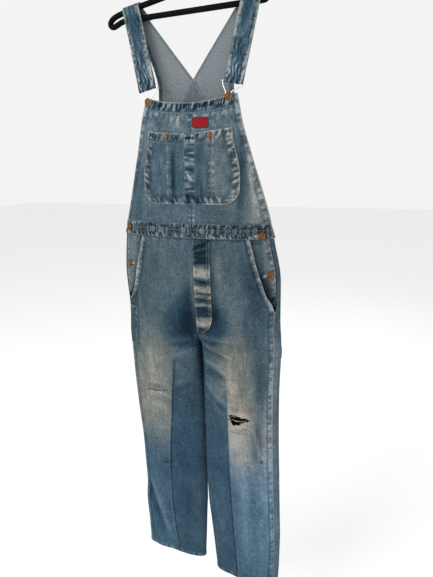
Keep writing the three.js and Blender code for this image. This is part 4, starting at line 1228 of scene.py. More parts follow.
def hammer_loop():
    """Strap across the back of one leg, bowed out between its sewn ends."""
    z = np.linspace(LOOP_TOP, LOOP_BOTTOM, 14)[:, None]
    u = np.linspace(0, 1, 60)[None, :]
    point, normal = skin(1, lerp(HALF_PI + 0.15, math.pi - 0.45, u), z)
    bow = LOOP_BOW * np.sin(math.pi * u) ** 2 + 0 * z
    zz = np.broadcast_to(z, point.shape[:2])
    near = np.minimum(LOOP_TOP - zz, zz - LOOP_BOTTOM)
    gathers = pucker(near, 90 * (u + 0 * z), 10, 123)
    sewn = np.exp(-((u / 0.05) ** 2))
    fade = 0.46 + 0.3 * gathers + 0.36 * worn_edge(near, 2) - 0.3 * sewn + grain(point[..., 0], zz, 37)
    lift = LAYER + bpy.context.scene.overalls_cloth.cloth * 1000
    shaped = point + normal * (bow + 0.5 * gathers)[..., None]
    cloth("denim_hammer_loop", shaped, normal, fade, ["hammer_loop"], outside=lift)


class OVERALLS_OT_bib(bpy.types.Operator):
    """Bib halves, top band, patch pocket, waistband, fly, label and tool pockets"""

    bl_idname = "overalls.bib"
    bl_label = "Bib and Sewn-on Pieces"

    def execute(self, context):
        for side, name in SIDES:
            bib_half(side, name)
            waistband(side, name)
        bib_band()
        bib_pocket()
        fly_placket()
        label_patch()
        rule_pocket()
        hammer_loop()
        return {"FINISHED"}


def back_half(side, name):
    """Upper back, from the waist up into the strap, with the V between the halves."""
    z = spaced(BACK_TOP, SEAM_GAP / 2, 1.2 * pitch())[:, None]
    u = np.linspace(0, 1, 48)[None, :]
    opens = np.maximum(0, z - NECK_V) * NECK_SLOPE
    inner = BACK_CENTRE + side * (SEAM_GAP / 2 + opens)
    outer = side * upper_back["out"](z) + (-2 if side < 0 else -6) * smoothstep(-z, -60, 0)
    x = lerp(inner, outer, u)
    point, normal = upper_back_at(x, z)
    zz = np.broadcast_to(z, x.shape)
    from_out, from_in = np.abs(outer - x), np.abs(x - inner)
    from_centre = np.where(zz > NECK_V, 60, from_in)
    above = zz > NECK_V
    gathers = 0.9 * pucker(from_out, zz, 15, 131 + side) + 0.8 * pucker(from_in, zz, 14, 133 + side) * above
    gathers += 0.4 * pucker(from_centre, zz, 9, 135) + 0.6 * pucker(zz, x, 12, 137)
    folded = 0.7 * (1 - smoothstep(from_out, 11, 13))
    folded = folded + 0.7 * (1 - smoothstep(from_centre, 9, 11)) * (side > 0)
    fade = back_fade(x, zz) + 0.26 * gathers
    fade = fade + 0.36 * worn_edge(from_out, 2.2) + 0.3 * worn_edge(from_in, 2) * above
    hems = 1 - smoothstep(from_out, 10, 12.5) + 0.6 * (1 - smoothstep(from_in, 6, 8)) * above
    cloth("denim_back_upper_" + name, point + normal * (folded + 0.6 * gathers)[..., None], normal, fade,
          ["back_upper_" + name], inside=0.85 - 0.72 * np.clip(hems, 0, 1), warm=-0.4)


def back_patch():
    """Triangle of cloth sewn inside the back where the straps part."""
    v = np.linspace(0, 1, 18)[:, None]
    z = lerp(NECK_V - 4, PATCH_BOTTOM, v)
    half = lerp(PATCH_TOP_HALF, PATCH_BOTTOM_HALF, v)
    x = BACK_CENTRE + half * np.linspace(-1, 1, 26)[None, :]
    point, normal = upper_back_at(x, np.broadcast_to(z, x.shape))
    depth = -bpy.context.scene.overalls_cloth.cloth * 1000 - LAYER
    rim = np.exp(-(((half - np.abs(x - BACK_CENTRE)) / 3) ** 2))
    fade = 0.42 + 0.4 * rim + grain(x, z, 41)
    cloth("denim_back_patch", point, normal, fade, ["back_patch"], outside=depth, inside=0.45 + 0.5 * rim)


def resampled(points, steps):
    """A path through points, smoothed and spaced evenly: Catmull-Rom pieces by arc length."""
    points = np.asarray(points, float)
    padded = np.concatenate([2 * points[:1] - points[1:2], points, 2 * points[-1:] - points[-2:-1]])
    fine = []
    t = np.linspace(0, 1, 24, endpoint=False)[:, None]
    for a, b, c, d in zip(padded, padded[1:], padded[2:], padded[3:]):
        square, cube = 2 * a - 5 * b + 4 * c - d, 3 * b - a - 3 * c + d
        fine.append(0.5 * (2 * b + (c - a) * t + square * t**2 + cube * t**3))
    fine = np.concatenate([*fine, points[-1:]])
    place = np.r_[0, np.cumsum(np.linalg.norm(np.diff(fine[:, :3], axis=0), axis=1))]
    want = np.linspace(0, place[-1], steps)
    return np.stack([np.interp(want, place, fine[:, k]) for k in range(fine.shape[1])], 1)


def strap_path(side):
    """Centre line, tilt and half width of a strap: up the back, over the hanger, round the hook and up."""
    mid = 1.2
    bend = HANGER_RADIUS + LAYER + mid
    bar = HOOK_WIRE + SEAM_GAP + mid
    rows = []
    for share in (0, 0.35, 0.7):
        rows.append((lerp(BACK_END_X, STRAP_OVER, share), lerp(BACK_END_Y, bend, share),
                     lerp(BACK_TOP + SEAM_GAP, STRAP_ARM, share), ARM_TILT * share,
                     lerp(BACK_END_HALF, STRAP_HALF, share)))
    for angle in np.linspace(0, math.pi, 9):
        rows.append((STRAP_OVER, bend * math.cos(angle), STRAP_ARM + bend * math.sin(angle), ARM_TILT, STRAP_HALF))
    for share in (0.08, 0.2, 0.35, 0.5, 0.65, 0.8, 0.92):
        rows.append((lerp(STRAP_OVER, STRAP_END_X, share), lerp(-bend, STRAP_HANG + bar, share),
                     lerp(STRAP_ARM, STRAP_END_Z, share), lerp(ARM_TILT, STRAP_END_TILT, share), STRAP_HALF))
    for angle in np.linspace(0, math.pi, 5):
        rows.append((STRAP_END_X, STRAP_HANG + bar * math.cos(angle), STRAP_END_Z - bar * math.sin(angle),
                     STRAP_END_TILT, STRAP_HALF))
    for share in (0.12, 0.28, 0.5, 0.75, 1):
        z = lerp(STRAP_END_Z, STRAP_TAIL_TOP, share)
        back = (STRAP_ARM - z) / (STRAP_ARM - STRAP_END_Z)
        main = lerp(-bend, STRAP_HANG + bar, back)
        closed = float(smoothstep(share, 0, 0.28))
        depth = lerp(main - 2 * bar, main - 2 * mid - LAYER, closed)
        rows.append((lerp(STRAP_OVER, STRAP_END_X, back), depth, z,
                     lerp(ARM_TILT, STRAP_END_TILT, back), STRAP_HALF))
    path = resampled(rows, 190)
    path[:, 0] *= side
    path[:, 3] *= -side
    return path


def strap(side, name):
    """A strap: a folded band carried along its path, gathered at both edges."""
    path = strap_path(side)
    centre = path[:, :3]
    width = unit(np.stack([np.ones(len(path)), np.zeros(len(path)), path[:, 3]], 1))
    along = unit(np.gradient(centre, axis=0))
    normal = unit(np.cross(along, width))
    across = np.linspace(-1, 1, 27)
    offset = across[None, :, None] * path[:, 4][:, None, None]
    points = centre[:, None] + width[:, None] * offset
    normals = np.broadcast_to(normal[:, None], points.shape)
    run = np.r_[0, np.cumsum(np.linalg.norm(np.diff(centre, axis=0), axis=1))][:, None] + 0 * across
    from_edge = STRAP_HALF * (1 - np.abs(across))[None, :] + 0 * run
    gathers = 0.9 * pucker(from_edge, run, 13, 141 + side)
    to_hook = np.exp(-(((run - run[-1, 0] + 95) / 70) ** 4))
    sway = 0.9 * mottle(run / 9, 0 * run, 145 + side) * to_hook
    stripes = np.clip(1.6 * mottle(STRAP_HALF * across / 4.0 + sway, run / 34, 143 + side), -1, 1)
    stripes = stripes * (0.55 + 0.6 * to_hook)
    pale = 0.34 * (1 - smoothstep(from_edge, 3.0, 10.0 + 5 * mottle(run / 22, 0 * run, 147 + side)))
    x = STRAP_HALF * across + 0 * run
    weave = np.sin(x / 1.5 + 2.1 * np.sin(run / 6.5 + x / 8 + side))
    weave = weave * (0.7 + 0.5 * mottle(x / 6, run / 12, 149 + side))
    braid = (0.2 + 0.8 * to_hook) * weave * smoothstep(from_edge, 1.0, 5.0)
    fade = 0.47 + 0.24 * gathers + 0.26 * stripes + 0.40 * braid + pale + grain(x, run, 43)
    shaped = points + normals * (0.35 * gathers + 0.5 * stripes)[..., None]
    cloth("denim_strap_" + name, shaped, normals, fade, ["strap_" + name], thick=2.4, outside=1.2, inside=0.0,
          warm=-0.55 + 2.6 * pale)


class OVERALLS_OT_back(bpy.types.Operator):
    """Upper back, its inner patch and the straps over the hanger"""

    bl_idname = "overalls.back"
    bl_label = "Upper Back and Straps"

    def execute(self, context):
        for side, name in SIDES:
            back_half(side, name)
            strap(side, name)
        back_patch()
        return {"FINISHED"}


def tube(name, path, radius, material, closed, sides=14, plane=(0, 1, 0)):
    """A round section carried along a path; an open one is closed by rounded ends."""
    path = np.asarray(path, float)
    if closed:
        tangent = unit(np.roll(path, -1, 0) - np.roll(path, 1, 0))
        reach = np.full(len(path), radius)
    else:
        tangent = unit(np.gradient(path, axis=0))
        cap = np.sin(np.linspace(0, HALF_PI, 6))
        ease = (1 - np.cos(np.linspace(0, HALF_PI, 6))) * radius
        first = path[0] - tangent[0] * (radius - ease)[:, None] + tangent[0] * radius
        last = path[-1] + tangent[-1] * (radius - ease)[::-1][:, None] - tangent[-1] * radius
        path = np.concatenate([first, path[1:-1], last])
        reach = np.r_[np.maximum(cap, 0.002), np.ones(len(tangent) - 2), np.maximum(cap[::-1], 0.002)] * radius
        tangent = np.concatenate([np.repeat(tangent[:1], 6, 0), tangent[1:-1], np.repeat(tangent[-1:], 6, 0)])
    side = unit(np.cross(tangent, np.asarray(plane, float)))
    up = unit(np.cross(side, tangent))
    angle = np.linspace(0, 2 * math.pi, sides, endpoint=False)
    round_it = side[:, None] * np.cos(angle)[None, :, None] + up[:, None] * np.sin(angle)[None, :, None]
    points = path[:, None] + round_it * reach[:, None, None]
    faces = grid_faces(len(path), sides, close_rows=closed, close_columns=True)[:, ::-1]
    if not closed:
        last = (len(path) - 1) * sides
        fan = np.arange(1, sides - 1, 2)
        first_cap = np.stack([0 * fan, fan, fan + 1, np.minimum(fan + 2, sides - 1)], 1)
        first_cap = first_cap[first_cap[:, 2] < first_cap[:, 3]]
        faces = np.concatenate([faces, first_cap, first_cap[:, ::-1] + last])
    return mesh_object(name, points.reshape(-1, 3), faces, material)


def strap_hook(side, name):
    """Wire hook: a bar in the strap's turn, sides that draw in, and a narrow end round the button's shank."""
    neck = HOOK_WIRE + HOOK_CLEAR + BIB_SHANK
    half = (
        (0, 0), (25, 0), (26.5, -3), (22, -10), (12, -17), (neck + 1.2, -24), (neck, -31), (neck * 0.7, -36), (0, -38),
    )
    outline = np.array(half + tuple((-p, q) for p, q in half[-2:0:-1]), float)
    outline = resampled(np.concatenate([outline, outline[:1]]), 97)[:-1]
    p, q = outline.T
    level = smoothstep(np.clip(-q / 31, 0, 1), 0.1, 0.8)
    button = BIB_BUTTON_X[side]
    stand = LAYER + 1.8 + HOOK_CLEAR + HOOK_WIRE
    seat = front_at(button + 0 * p, BIB_BUTTON_Z + 0 * p)[0][:, 1] - stand
    x = lerp(side * STRAP_END_X, button, level) + p
    z = STRAP_END_Z + q - side * STRAP_END_TILT * p * (1 - level) * 0.98
    path = np.stack([x, lerp(STRAP_HANG, seat, level), z], 1)
    piece = tube("nickel_hook_" + name, path, HOOK_WIRE, "nickel", True)
    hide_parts("strap_hook_" + name)


def turned(name, profile, x, z, lift, node):
    """A turned metal piece: a profile of radius and height carried round the surface's normal."""
    point, normal = (v[0] for v in front_at(np.array([float(x)]), np.array([float(z)])))
    profile = resampled([(r, h) for r, h in profile], 40)
    angle = np.linspace(0, 2 * math.pi, 32, endpoint=False)
    first = unit(np.cross(normal, (0.0, 0.0, 1.0)))
    second = np.cross(normal, first)
    round_it = np.cos(angle)[:, None] * first + np.sin(angle)[:, None] * second
    radius = np.maximum(profile[:, 0], 0.01)
    points = point + normal * lift + radius[:, None, None] * round_it[None] + profile[:, 1][:, None, None] * normal
    faces = grid_faces(40, 32, close_columns=True)[:, ::-1]
    piece = mesh_object(name, points.reshape(-1, 3), faces, "copper", sharp=70)
    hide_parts(node)


BIB_BUTTON_PROFILE = (
    (0, 0), (3.4, 0), (3.4, 4.0), (8.0, 4.1), (9, 5.0), (9.1, 6.0), (8.3, 6.9),
    (7.2, 6.7), (6.2, 6.0), (4.6, 6.0), (3.0, 6.9), (0, 7.2),
)
SIDE_BUTTON_PROFILE = (
    (0, 0), (5.5, 0), (5.5, 1.2), (8.5, 1.4), (9.1, 2.6), (8.2, 3.6), (6.8, 3.3), (5.6, 2.7), (3.4, 3.2), (0, 3.8),
)
RIVET_PROFILE = ((0, 0), (6.4, 0), (7.0, 1.0), (6.3, 1.9), (4.8, 1.7), (3.2, 2.3), (0, 2.6))


class OVERALLS_OT_metal(bpy.types.Operator):
    """Wire hooks, bib and side buttons, and pocket rivets"""

    bl_idname = "overalls.metal"
    bl_label = "Hooks, Buttons and Rivets"

    def execute(self, context):
        one = context.scene.overalls_cloth.cloth * 1000
        for side, name in SIDES:
            strap_hook(side, name)
            turned("copper_bib_button_" + name, BIB_BUTTON_PROFILE, BIB_BUTTON_X[side], BIB_BUTTON_Z, LAYER + one + 0.3,
                   "bib_button_" + name)
            x = POCKET_RIVETS[name]
            stands = pocket_gape(x, POCKET_TOP - POCKET_SAG * 0.7 - POCKET_RIVET_Z)
            turned("copper_pocket_rivet_" + name, RIVET_PROFILE, x, POCKET_RIVET_Z, POCKET_GAP + one + 0.3 + stands,
                   "pocket_rivet_" + name)
        for node, x, z, on_band in SIDE_BUTTONS:
            lift = LAYER + one + 0.8 if on_band else -LAYER - one + 0.8
            turned("copper_" + node, SIDE_BUTTON_PROFILE, x, z, lift, node)
        return {"FINISHED"}


def stitches(path, normal, spacing=3.6, long=2.7, thick=0.42):
    """Sewing along a path: a six-sided bead with pointed ends for each stitch, sunk halfway into the cloth."""
    place = np.r_[0, np.cumsum(np.linalg.norm(np.diff(path, axis=0), axis=1))]
    at = np.arange(spacing / 2, place[-1], spacing)

    def sample(values, where):
        return np.stack([np.interp(where, place, values[:, k]) for k in range(3)], 1)

    middle, out = sample(path, at), unit(sample(normal, at))
    along = unit(sample(path, at + long / 2) - sample(path, at - long / 2) + 1e-9)
    aside = unit(np.cross(along, out))
    stations = ((-0.5, 0.12), (-0.32, 1.0), (0.32, 1.0), (0.5, 0.12))
    angle = np.linspace(0, 2 * math.pi, 6, endpoint=False)
    rings = []
    for share, swell in stations:
        core = middle + along * (share * long) + out * (0.3 * thick * swell)
        rings.append(core[:, None] + thick * swell * (
            np.cos(angle)[None, :, None] * aside[:, None] + np.sin(angle)[None, :, None] * out[:, None]))
    points = np.stack(rings, 1).reshape(-1, 3)
    one = grid_faces(4, 6, close_columns=True)
    faces = (one[None] + 24 * np.arange(len(at))[:, None, None]).reshape(-1, 4)
    return points, faces


def row_on_front(x, z, lift):
    """A sewing row on the front, from its places in x and z."""
    x, z = np.broadcast_arrays(np.asarray(x, float), np.asarray(z, float))
    point, normal = front_at(x, z)
    return point + normal * np.asarray(lift, float).reshape(-1, 1), normal


def inside_back_rows(one):
    """Sewing seen inside the upper back: pairs along its edges and down the sides of the triangle patch."""
    rows = []
    for side, _ in SIDES:
        z = np.linspace(BACK_TOP - 4, 150, 160)
        out = side * upper_back["out"](z)
        neck = np.linspace(BACK_TOP - 4, NECK_V + 14, 70)
        for inset in (3.0, 9.0):
            point, normal = upper_back_at(out - side * inset, z)
            rows.append((point - normal * (one + 0.1), -normal))
            slope = BACK_CENTRE + side * ((neck - NECK_V) * NECK_SLOPE + inset * 1.3)
            point, normal = upper_back_at(slope, neck)
            rows.append((point - normal * (one + 0.1), -normal))
            fall = np.linspace(NECK_V - 8, 332, 40)
            out_by = PATCH_TOP_HALF + (NECK_V - 4 - fall) * 0.61 - 0.5 * inset
            point, normal = upper_back_at(BACK_CENTRE + side * out_by, fall)
            rows.append((point - normal * (2 * one + LAYER + 0.1), -normal))
    return rows


def sewing_rows():
    """Every row of stitches: felled seams, hems, pocket edges, waistband, bib band, bib pocket, fly and the inside of
    the upper back.
    """
    one = bpy.context.scene.overalls_cloth.cloth * 1000
    rows = []
    low = np.linspace(-345, HEM + 4, 300)
    for side, _ in SIDES:
        rows.append(row_on_front(leg_seam[side](low) + side * 4.0, low, 0.35))
        for inset in (2.2, 7.5):
            z = np.linspace(-190, HEM + 4, 300)
            rows.append(row_on_front(outseam(side, z) - side * inset, z, 1.0))
            z = np.linspace(-4, -178, 80)
            gape = 9 * smoothstep(-z, 15, 100) * (1 - smoothstep(-z, 135, 182))
            lift = 1.0 + gape * (0.86 if inset < 5 else 0.62)
            rows.append(row_on_front(hip_opening[side](z) - side * inset, z, lift))
            z = np.linspace(44, BIB_TOP - 4, 120)
            edge = body["left" if side < 0 else "right"](z)
            rows.append(row_on_front(edge - side * inset, z, 0.8))
        ends = {-1: (body["left_in"](np.array(HEM)) - 4, body["left"](np.array(HEM)) + 8),
                1: (body["right_in"](np.array(HEM)) + 4, body["right"](np.array(HEM)) - 8)}[side]
        x = np.linspace(*ends, 120)
        rows.append(row_on_front(x, HEM + 11.5 + 0 * x, 1.1))
        turn = np.linspace(0.02, 1.38, 120)
        for height in (3.0, 22.0, 36.0):
            point, normal = skin(side, turn, height + 0 * turn)
            rows.append((point + normal * (LAYER + one + 0.1), normal))
    rows += inside_back_rows(one)
    x = np.linspace(-108, 110, 140)
    for down in (2.5, 23.5):
        rows.append(row_on_front(x, bib_top(x) - 0.5 - down, LAYER + one + (1.0 if down < 5 else 0.1)))
    z = np.linspace(300, 268, 30)
    for inset in (2.0, 8.0):
        rows.append(row_on_front(CENTRE + inset + 0 * z, z, 0.9))
        low_bib = np.linspace(POCKET_BOTTOM - 3, 42, 30)
        rows.append(row_on_front(CENTRE + inset + 0 * low_bib, low_bib, 0.9))
    pocket_lift = POCKET_GAP + one + 0.1
    for inset in (2.4, 8.5):
        v = np.linspace(0.02, 1, 160)
        left_x, left_z, half = pocket_outline(v, -1 + 0 * v)
        shrink = 1 - inset / np.maximum(half, 1)
        right_x = pocket_outline(v, 1 + 0 * v)[0]
        rise = np.maximum(POCKET_BOTTOM + inset, left_z)
        left, right = (left_x - POCKET_CENTRE) * shrink, (right_x - POCKET_CENTRE) * shrink
        x = POCKET_CENTRE + np.r_[left, right[::-1]]
        rows.append(row_on_front(x, np.r_[rise, rise[::-1]], pocket_lift))
    share = np.linspace(-0.97, 0.97, 120)
    for down in (3.0, 25.0):
        mouth_x, mouth_z, _ = pocket_outline(0 * share, share)
        rows.append(row_on_front(mouth_x, mouth_z - down, pocket_lift))
    z = np.linspace(240, POCKET_BOTTOM + 9, 90)
    for line in (-58.5, -53.5, 56.5, 61.5, -11.0, 17.0):
        rows.append(row_on_front(line + 0 * z, z, pocket_lift))
    z = np.linspace(FLY_TOP - 4, FLY_BOTTOM + 2, 160)
    for inset in (2.5, 7.5):
        rows.append(row_on_front(fly_edge(z) - inset, z, LAYER + 2.2 + one - 0.4))
    return rows


def joined(parts):
    """Several meshes' points and faces as one."""
    starts = np.cumsum([0] + [len(points) for points, _ in parts[:-1]])
    return np.concatenate([p for p, _ in parts]), np.concatenate([f + s for (_, f), s in zip(parts, starts)])


def thread_bundle(paths, thick):
    """Loose threads: a thin four-sided tube along each path, tapered to its ends."""
    parts = []
    for path in paths:
        path = resampled(path, 14)
        along = unit(np.gradient(path, axis=0))
        aside = unit(np.cross(along, (0.0, -1.0, 0.2)))
        out = np.cross(aside, along)
        swell = thick * np.sin(np.linspace(0.12, math.pi - 0.12, 14)) ** 0.4
        angle = np.linspace(0, 2 * math.pi, 4, endpoint=False)
        round_it = np.cos(angle)[None, :, None] * aside[:, None] + np.sin(angle)[None, :, None] * out[:, None]
        points = path[:, None] + round_it * swell[:, None, None]
        parts.append((points.reshape(-1, 3), grid_faces(14, 4, close_columns=True)))
    return joined(parts)


# Worked slits and nicks, as loops of white thread: x, z, half length, half width, lean in degrees, lift.
THREAD_LOOPS = (
    (-28.5, 282, 15, 2.6, 90, 0.5),
    (2, 151, 12, 2.4, -48, 3.2),
    (171, 9, 9, 2.6, 8, 3.0),
    (193, -89, 8, 2.4, 30, -1.0),
    (-188, -79, 7, 2.4, 12, -1.0),
)


# The tear in the other knee: its start, its slope and the height of its threads.
TEAR_START, TEAR_SLOPE, TEAR_Z = -164, 0.07, -457.5


def slit_loops(random):
    """Three rings of thread round each worked slit."""
    for x, z, long, wide, lean, lift in THREAD_LOOPS:
        c, s = math.cos(math.radians(lean)), math.sin(math.radians(lean))
        for ring_share in (1.0, 0.72, 0.5):
            a = np.linspace(0, 2 * math.pi, 22) + random.uniform(0, 6)
            p, q = long * np.cos(a) * (0.9 + 0.1 * ring_share), wide * ring_share * np.sin(a)
            point, normal = front_at(x + c * p - s * q, z + s * p + c * q)
            yield point + normal * lift


def rip_strands(random):
    """Two threads across the rip, the first of them broken off."""
    u = np.linspace(0, 1, 9)
    for broken in (True, False):
        z0 = random.uniform(-508, -486)
        x0 = 99 + random.uniform(0, 8) + 0.2 * abs(z0 + 490)
        x1 = 148 - random.uniform(0, 14) - 0.6 * abs(z0 + 492)
        if broken:
            x1 = lerp(x0, x1, random.uniform(0.4, 0.8))
        z = z0 - 4 * np.sin(math.pi * u) * random.uniform(0.2, 1) + random.uniform(-2, 2) * u
        point, normal = front_at(lerp(x0, x1, u), z)
        yield point + normal * (-1.5 + random.uniform(-2, 1.5) * np.sin(math.pi * u))[:, None]


def rip_frays(random, count=30):
    """Short ends that stand out round the rip."""
    u = np.linspace(0, 1, 6)
    for _ in range(count):
        corner = random.integers(0, len(KNEE_RIP))
        a, b = np.array(KNEE_RIP[corner]), np.array(KNEE_RIP[(corner + 1) % len(KNEE_RIP)])
        x0, z0 = lerp(a, b, random.uniform())
        x = x0 + random.uniform(-5, 5) * u
        z = z0 + random.uniform(-9, 3) * u
        point, normal = front_at(x, z)
        yield point + normal * (0.4 + random.uniform(0, 2) * u)[:, None]


def tear_frays(random, count=9):
    """Threads that lie along the tear in the other knee."""
    u = np.linspace(0, 1, 7)
    for _ in range(count):
        x0 = random.uniform(TEAR_START, -104)
        x = x0 + random.uniform(8, 20) * u
        sag = random.uniform(-4, 2) * np.sin(math.pi * u) + random.uniform(-3, 1) * u
        point, normal = front_at(x, TEAR_Z + TEAR_SLOPE * (x0 - TEAR_START) + sag)
        yield point + normal * (1.2 + random.uniform(0, 1.5) * np.sin(math.pi * u))[:, None]


class OVERALLS_OT_threads(bpy.types.Operator):
    """Rows of stitches, worked slits and the frayed threads of the torn knees"""

    bl_idname = "overalls.threads"
    bl_label = "Stitches and Frays"

    def execute(self, context):
        points, faces = joined([stitches(path, normal) for path, normal in sewing_rows()])
        mesh_object("sewing_rows", points, faces, "sewing", sharp=80)
        random = np.random.default_rng(7)
        paths = []
        for threads in (slit_loops, rip_strands, rip_frays, tear_frays):
            paths.extend(threads(random))
        points, faces = thread_bundle(paths, 0.4)
        mesh_object("white_threads", points, faces, "thread", sharp=80)
        return {"FINISHED"}


class OVERALLS_OT_hanger(bpy.types.Operator):
    """Tubular hanger frame and its hook"""

    bl_idname = "overalls.hanger"
    bl_label = "Hanger"

    def execute(self, context):
        right, left = [(x, 0.0, z) for x, z in HANGER_RIGHT], [(-x, 0.0, z) for x, z in HANGER_LEFT]
        loop = [(0.0, 0.0, HANGER_TOP), *right, (0.0, 0.0, HANGER_BAR), *left[::-1], (0.0, 0.0, HANGER_TOP)]
        path = resampled(loop, 401)[:-1]
        piece = tube("black_hanger_frame", path, HANGER_RADIUS, "black_plastic", True, sides=20)
        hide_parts("hanger_frame")
        middle = HANG_DROP - (HOOK_BEND - HOOK_RADIUS)
        foot = HANGER_TOP + HANGER_RADIUS - 1.0
        bend = np.radians([-55, -25, 10, 50, 90, 130, 170, 200])
        points = [(0, 0, foot), (0, 0, foot + 18), (3, 0, middle - HOOK_BEND - 6)]
        points += [(HOOK_BEND * math.cos(a), 0, middle + HOOK_BEND * math.sin(a)) for a in bend]
        piece = tube("black_hanger_hook", resampled(points, 90), HOOK_RADIUS, "black_plastic", False, sides=18)
        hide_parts("hanger_hook")
        return {"FINISHED"}


def lamp(name, size, place, aim, power, colour=(1, 1, 1)):
    """A soft square lamp at a place, turned to what it lights."""
    light = bpy.data.lights.new(name, "AREA")
    light.shape, light.size, light.energy, light.color = "SQUARE", size, power, colour
    holder = bpy.data.objects.new(name, light)
    back = unit(np.array(place, float) - np.array(aim, float))
    right = unit(np.cross((0.0, 0.0, 1.0), back))
    holder.matrix_world = Matrix.Translation(place) @ Matrix(
        np.stack([right, np.cross(back, right), back], 1).tolist()).to_4x4()
    bpy.context.scene.collection.objects.link(holder)


class OVERALLS_OT_stage(bpy.types.Operator):
    """Pale floor, soft lamps and the photograph's camera"""

    bl_idname = "overalls.stage"
    bl_label = "Stage"

    def execute(self, context):
        scene = context.scene
        stage = scene.overalls_stage
        half = 12.0
        mesh = bpy.data.meshes.new("floor")
        corners = ((-half, -half), (half, -half), (half, half), (-half, half))
        mesh.from_pydata([(x, y, FLOOR_Z) for x, y in corners], [], [(0, 1, 2, 3)])
        shader = Shader("floor")
        mesh.materials.append(shader.surface(rgba(stage.floor), 0.9))
        floor = bpy.data.objects.new("floor", mesh)
        scene.collection.objects.link(floor)
        world = bpy.data.worlds.new("studio")
        world.use_nodes = True
        sky = world.node_tree.nodes["Background"]
        sky.inputs["Color"].default_value = rgba(stage.sky)
        sky.inputs["Strength"].default_value = stage.sky_strength
        scene.world = world
        aim = (0, 0, -0.75)
        lamp("key", 2.2, (-1.6, -2.6, 0.6), aim, stage.key)
        lamp("fill", 2.6, (2.4, -2.2, -0.2), aim, stage.fill)
        lamp("rim", 2.0, (0.6, 2.6, 0.9), aim, stage.fill)
        azimuth, pitch_angle, roll = (math.radians(v) for v in (CAMERA_AZIMUTH, CAMERA_PITCH, CAMERA_ROLL))
        flat = math.cos(pitch_angle)
        back = np.array([math.sin(azimuth) * flat, -math.cos(azimuth) * flat, math.sin(pitch_angle)])
        right = unit(np.cross(-back, (0.0, 0.0, 1.0)))
        up = np.cross(right, -back)
        level, tip = math.cos(roll), math.sin(roll)
        turned_right, turned_up = level * right + tip * up, level * up - tip * right
        camera = bpy.data.cameras.new("photo_camera")
        camera.lens = CAMERA_FOCAL / PICTURE_HIGH * camera.sensor_width
        camera.clip_start = 0.05
        holder = bpy.data.objects.new("photo_camera", camera)
        holder.matrix_world = Matrix.Translation(to_frame(CAMERA_AT)) @ Matrix(
            np.stack([turned_right, turned_up, back], 1).tolist()).to_4x4()
        scene.collection.objects.link(holder)
        scene.camera = holder
        scene.view_settings.view_transform = "Standard"
        return {"FINISHED"}


def colour_property(name, description, default):
    """A colour that a user may change."""
    return FloatVectorProperty(name=name, description=description, default=default, subtype="COLOR", min=0, max=1)


class OverallsCloth(bpy.types.PropertyGroup):
    """Sizes of the cloth"""

    cloth: FloatProperty(name="Cloth", description="Thickness of one layer of denim", default=0.0018, unit="LENGTH")
    pitch: FloatProperty(name="Pitch", description="Spacing of the cloth's points", default=0.003, unit="LENGTH")


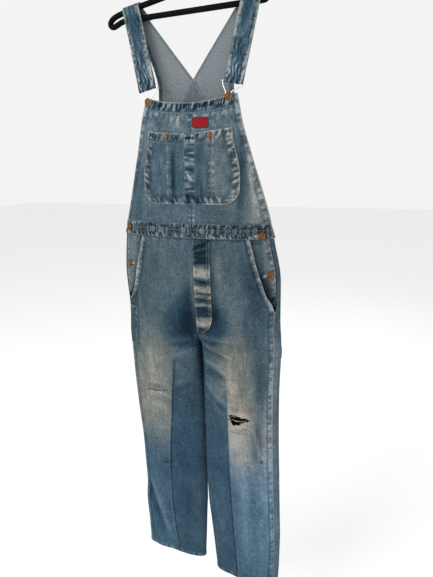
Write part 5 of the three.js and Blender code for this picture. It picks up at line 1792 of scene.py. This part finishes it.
class OverallsTints(bpy.types.PropertyGroup):
    """Colours of cloth, metal, thread and plastic"""

    indigo: colour_property("Indigo", "Unworn denim, in the folds", (0.004, 0.010, 0.016))
    deep: colour_property("Deep", "Little worn denim", (0.016, 0.033, 0.046))
    washed: colour_property("Washed", "Washed blue", (0.042, 0.068, 0.083))
    sky: colour_property("Sky", "Well worn blue", (0.102, 0.129, 0.142))
    pale: colour_property("Pale", "Denim rubbed nearly bare", (0.230, 0.250, 0.258))
    cool: FloatVectorProperty(name="Cool", description="Share of each colour in blue places", default=(0.72, 1.0, 1.26))
    warm: FloatVectorProperty(name="Warm", description="Share of each colour in beige places", default=(1.2, 1.0, 0.82))
    inside: colour_property("Inside", "Back of the cloth", (0.230, 0.250, 0.258))
    inside_dark: colour_property("Inside Grain", "Dark yarns of the cloth's back", (0.100, 0.118, 0.130))
    rust: colour_property("Rust", "Brown stains", (0.075, 0.052, 0.032))
    # Colour of the smudges and of the painted shadow in the knee tear.
    smudge: colour_property("Smudge", "Dark marks", (0.008, 0.010, 0.014))
    thread: colour_property("White Thread", "Bare cotton at tears", (0.420, 0.415, 0.390))
    paint: colour_property("Paint", "Faint flecks of spattered paint", (0.420, 0.410, 0.370))
    sewing: colour_property("Sewing", "Stitching", (0.190, 0.195, 0.180))
    label: colour_property("Label", "Red cloth patch", (0.250, 0.006, 0.010))
    edging: colour_property("Edging", "Turned edge of the patch", (0.030, 0.020, 0.018))
    copper: colour_property("Copper", "Buttons and rivets", (0.145, 0.064, 0.020))
    nickel: colour_property("Nickel", "Wire hooks", (0.620, 0.610, 0.590))
    plastic: colour_property("Plastic", "Hanger", (0.002, 0.002, 0.002))


class OverallsStage(bpy.types.PropertyGroup):
    """Floor, sky and lamps"""

    floor: colour_property("Floor", "Plain floor", (0.92, 0.92, 0.92))
    sky: colour_property("Sky", "Light from all round", (1.0, 1.0, 1.0))
    sky_strength: FloatProperty(name="Sky Strength", description="Strength of the light from all round", default=0.9)
    key: FloatProperty(name="Key", description="Power of the main lamp", default=80.0, unit="POWER")
    fill: FloatProperty(name="Fill", description="Power of the other lamps", default=16.0, unit="POWER")


OPERATORS = (
    OVERALLS_OT_trousers,
    OVERALLS_OT_bib,
    OVERALLS_OT_back,
    OVERALLS_OT_metal,
    OVERALLS_OT_threads,
    OVERALLS_OT_hanger,
    OVERALLS_OT_stage,
)


class OVERALLS_PT_panel(bpy.types.Panel):
    """Lists the steps that build the overalls"""

    bl_idname = "OVERALLS_PT_panel"
    bl_label = "Overalls"
    bl_space_type = "VIEW_3D"
    bl_region_type = "UI"
    bl_category = "Overalls"

    def draw(self, context):
        for operator in OPERATORS:
            self.layout.operator(operator.bl_idname)


CLASSES = (OverallsCloth, OverallsTints, OverallsStage, *OPERATORS, OVERALLS_PT_panel)


def register():
    """Adds the classes and their settings."""
    for cls in CLASSES:
        bpy.utils.register_class(cls)
    bpy.types.Scene.overalls_cloth = PointerProperty(type=OverallsCloth)
    bpy.types.Scene.overalls_tints = PointerProperty(type=OverallsTints)
    bpy.types.Scene.overalls_stage = PointerProperty(type=OverallsStage)


def unregister():
    """Takes the settings and classes away."""
    del bpy.types.Scene.overalls_cloth, bpy.types.Scene.overalls_tints, bpy.types.Scene.overalls_stage
    for cls in reversed(CLASSES):
        bpy.utils.unregister_class(cls)


def main():
    """Builds every piece and the stage."""
    register()
    bpy.ops.overalls.trousers()
    bpy.ops.overalls.bib()
    bpy.ops.overalls.back()
    bpy.ops.overalls.metal()
    bpy.ops.overalls.threads()
    bpy.ops.overalls.hanger()
    bpy.ops.overalls.stage()
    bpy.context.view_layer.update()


if __name__ == "__main__":
    main()
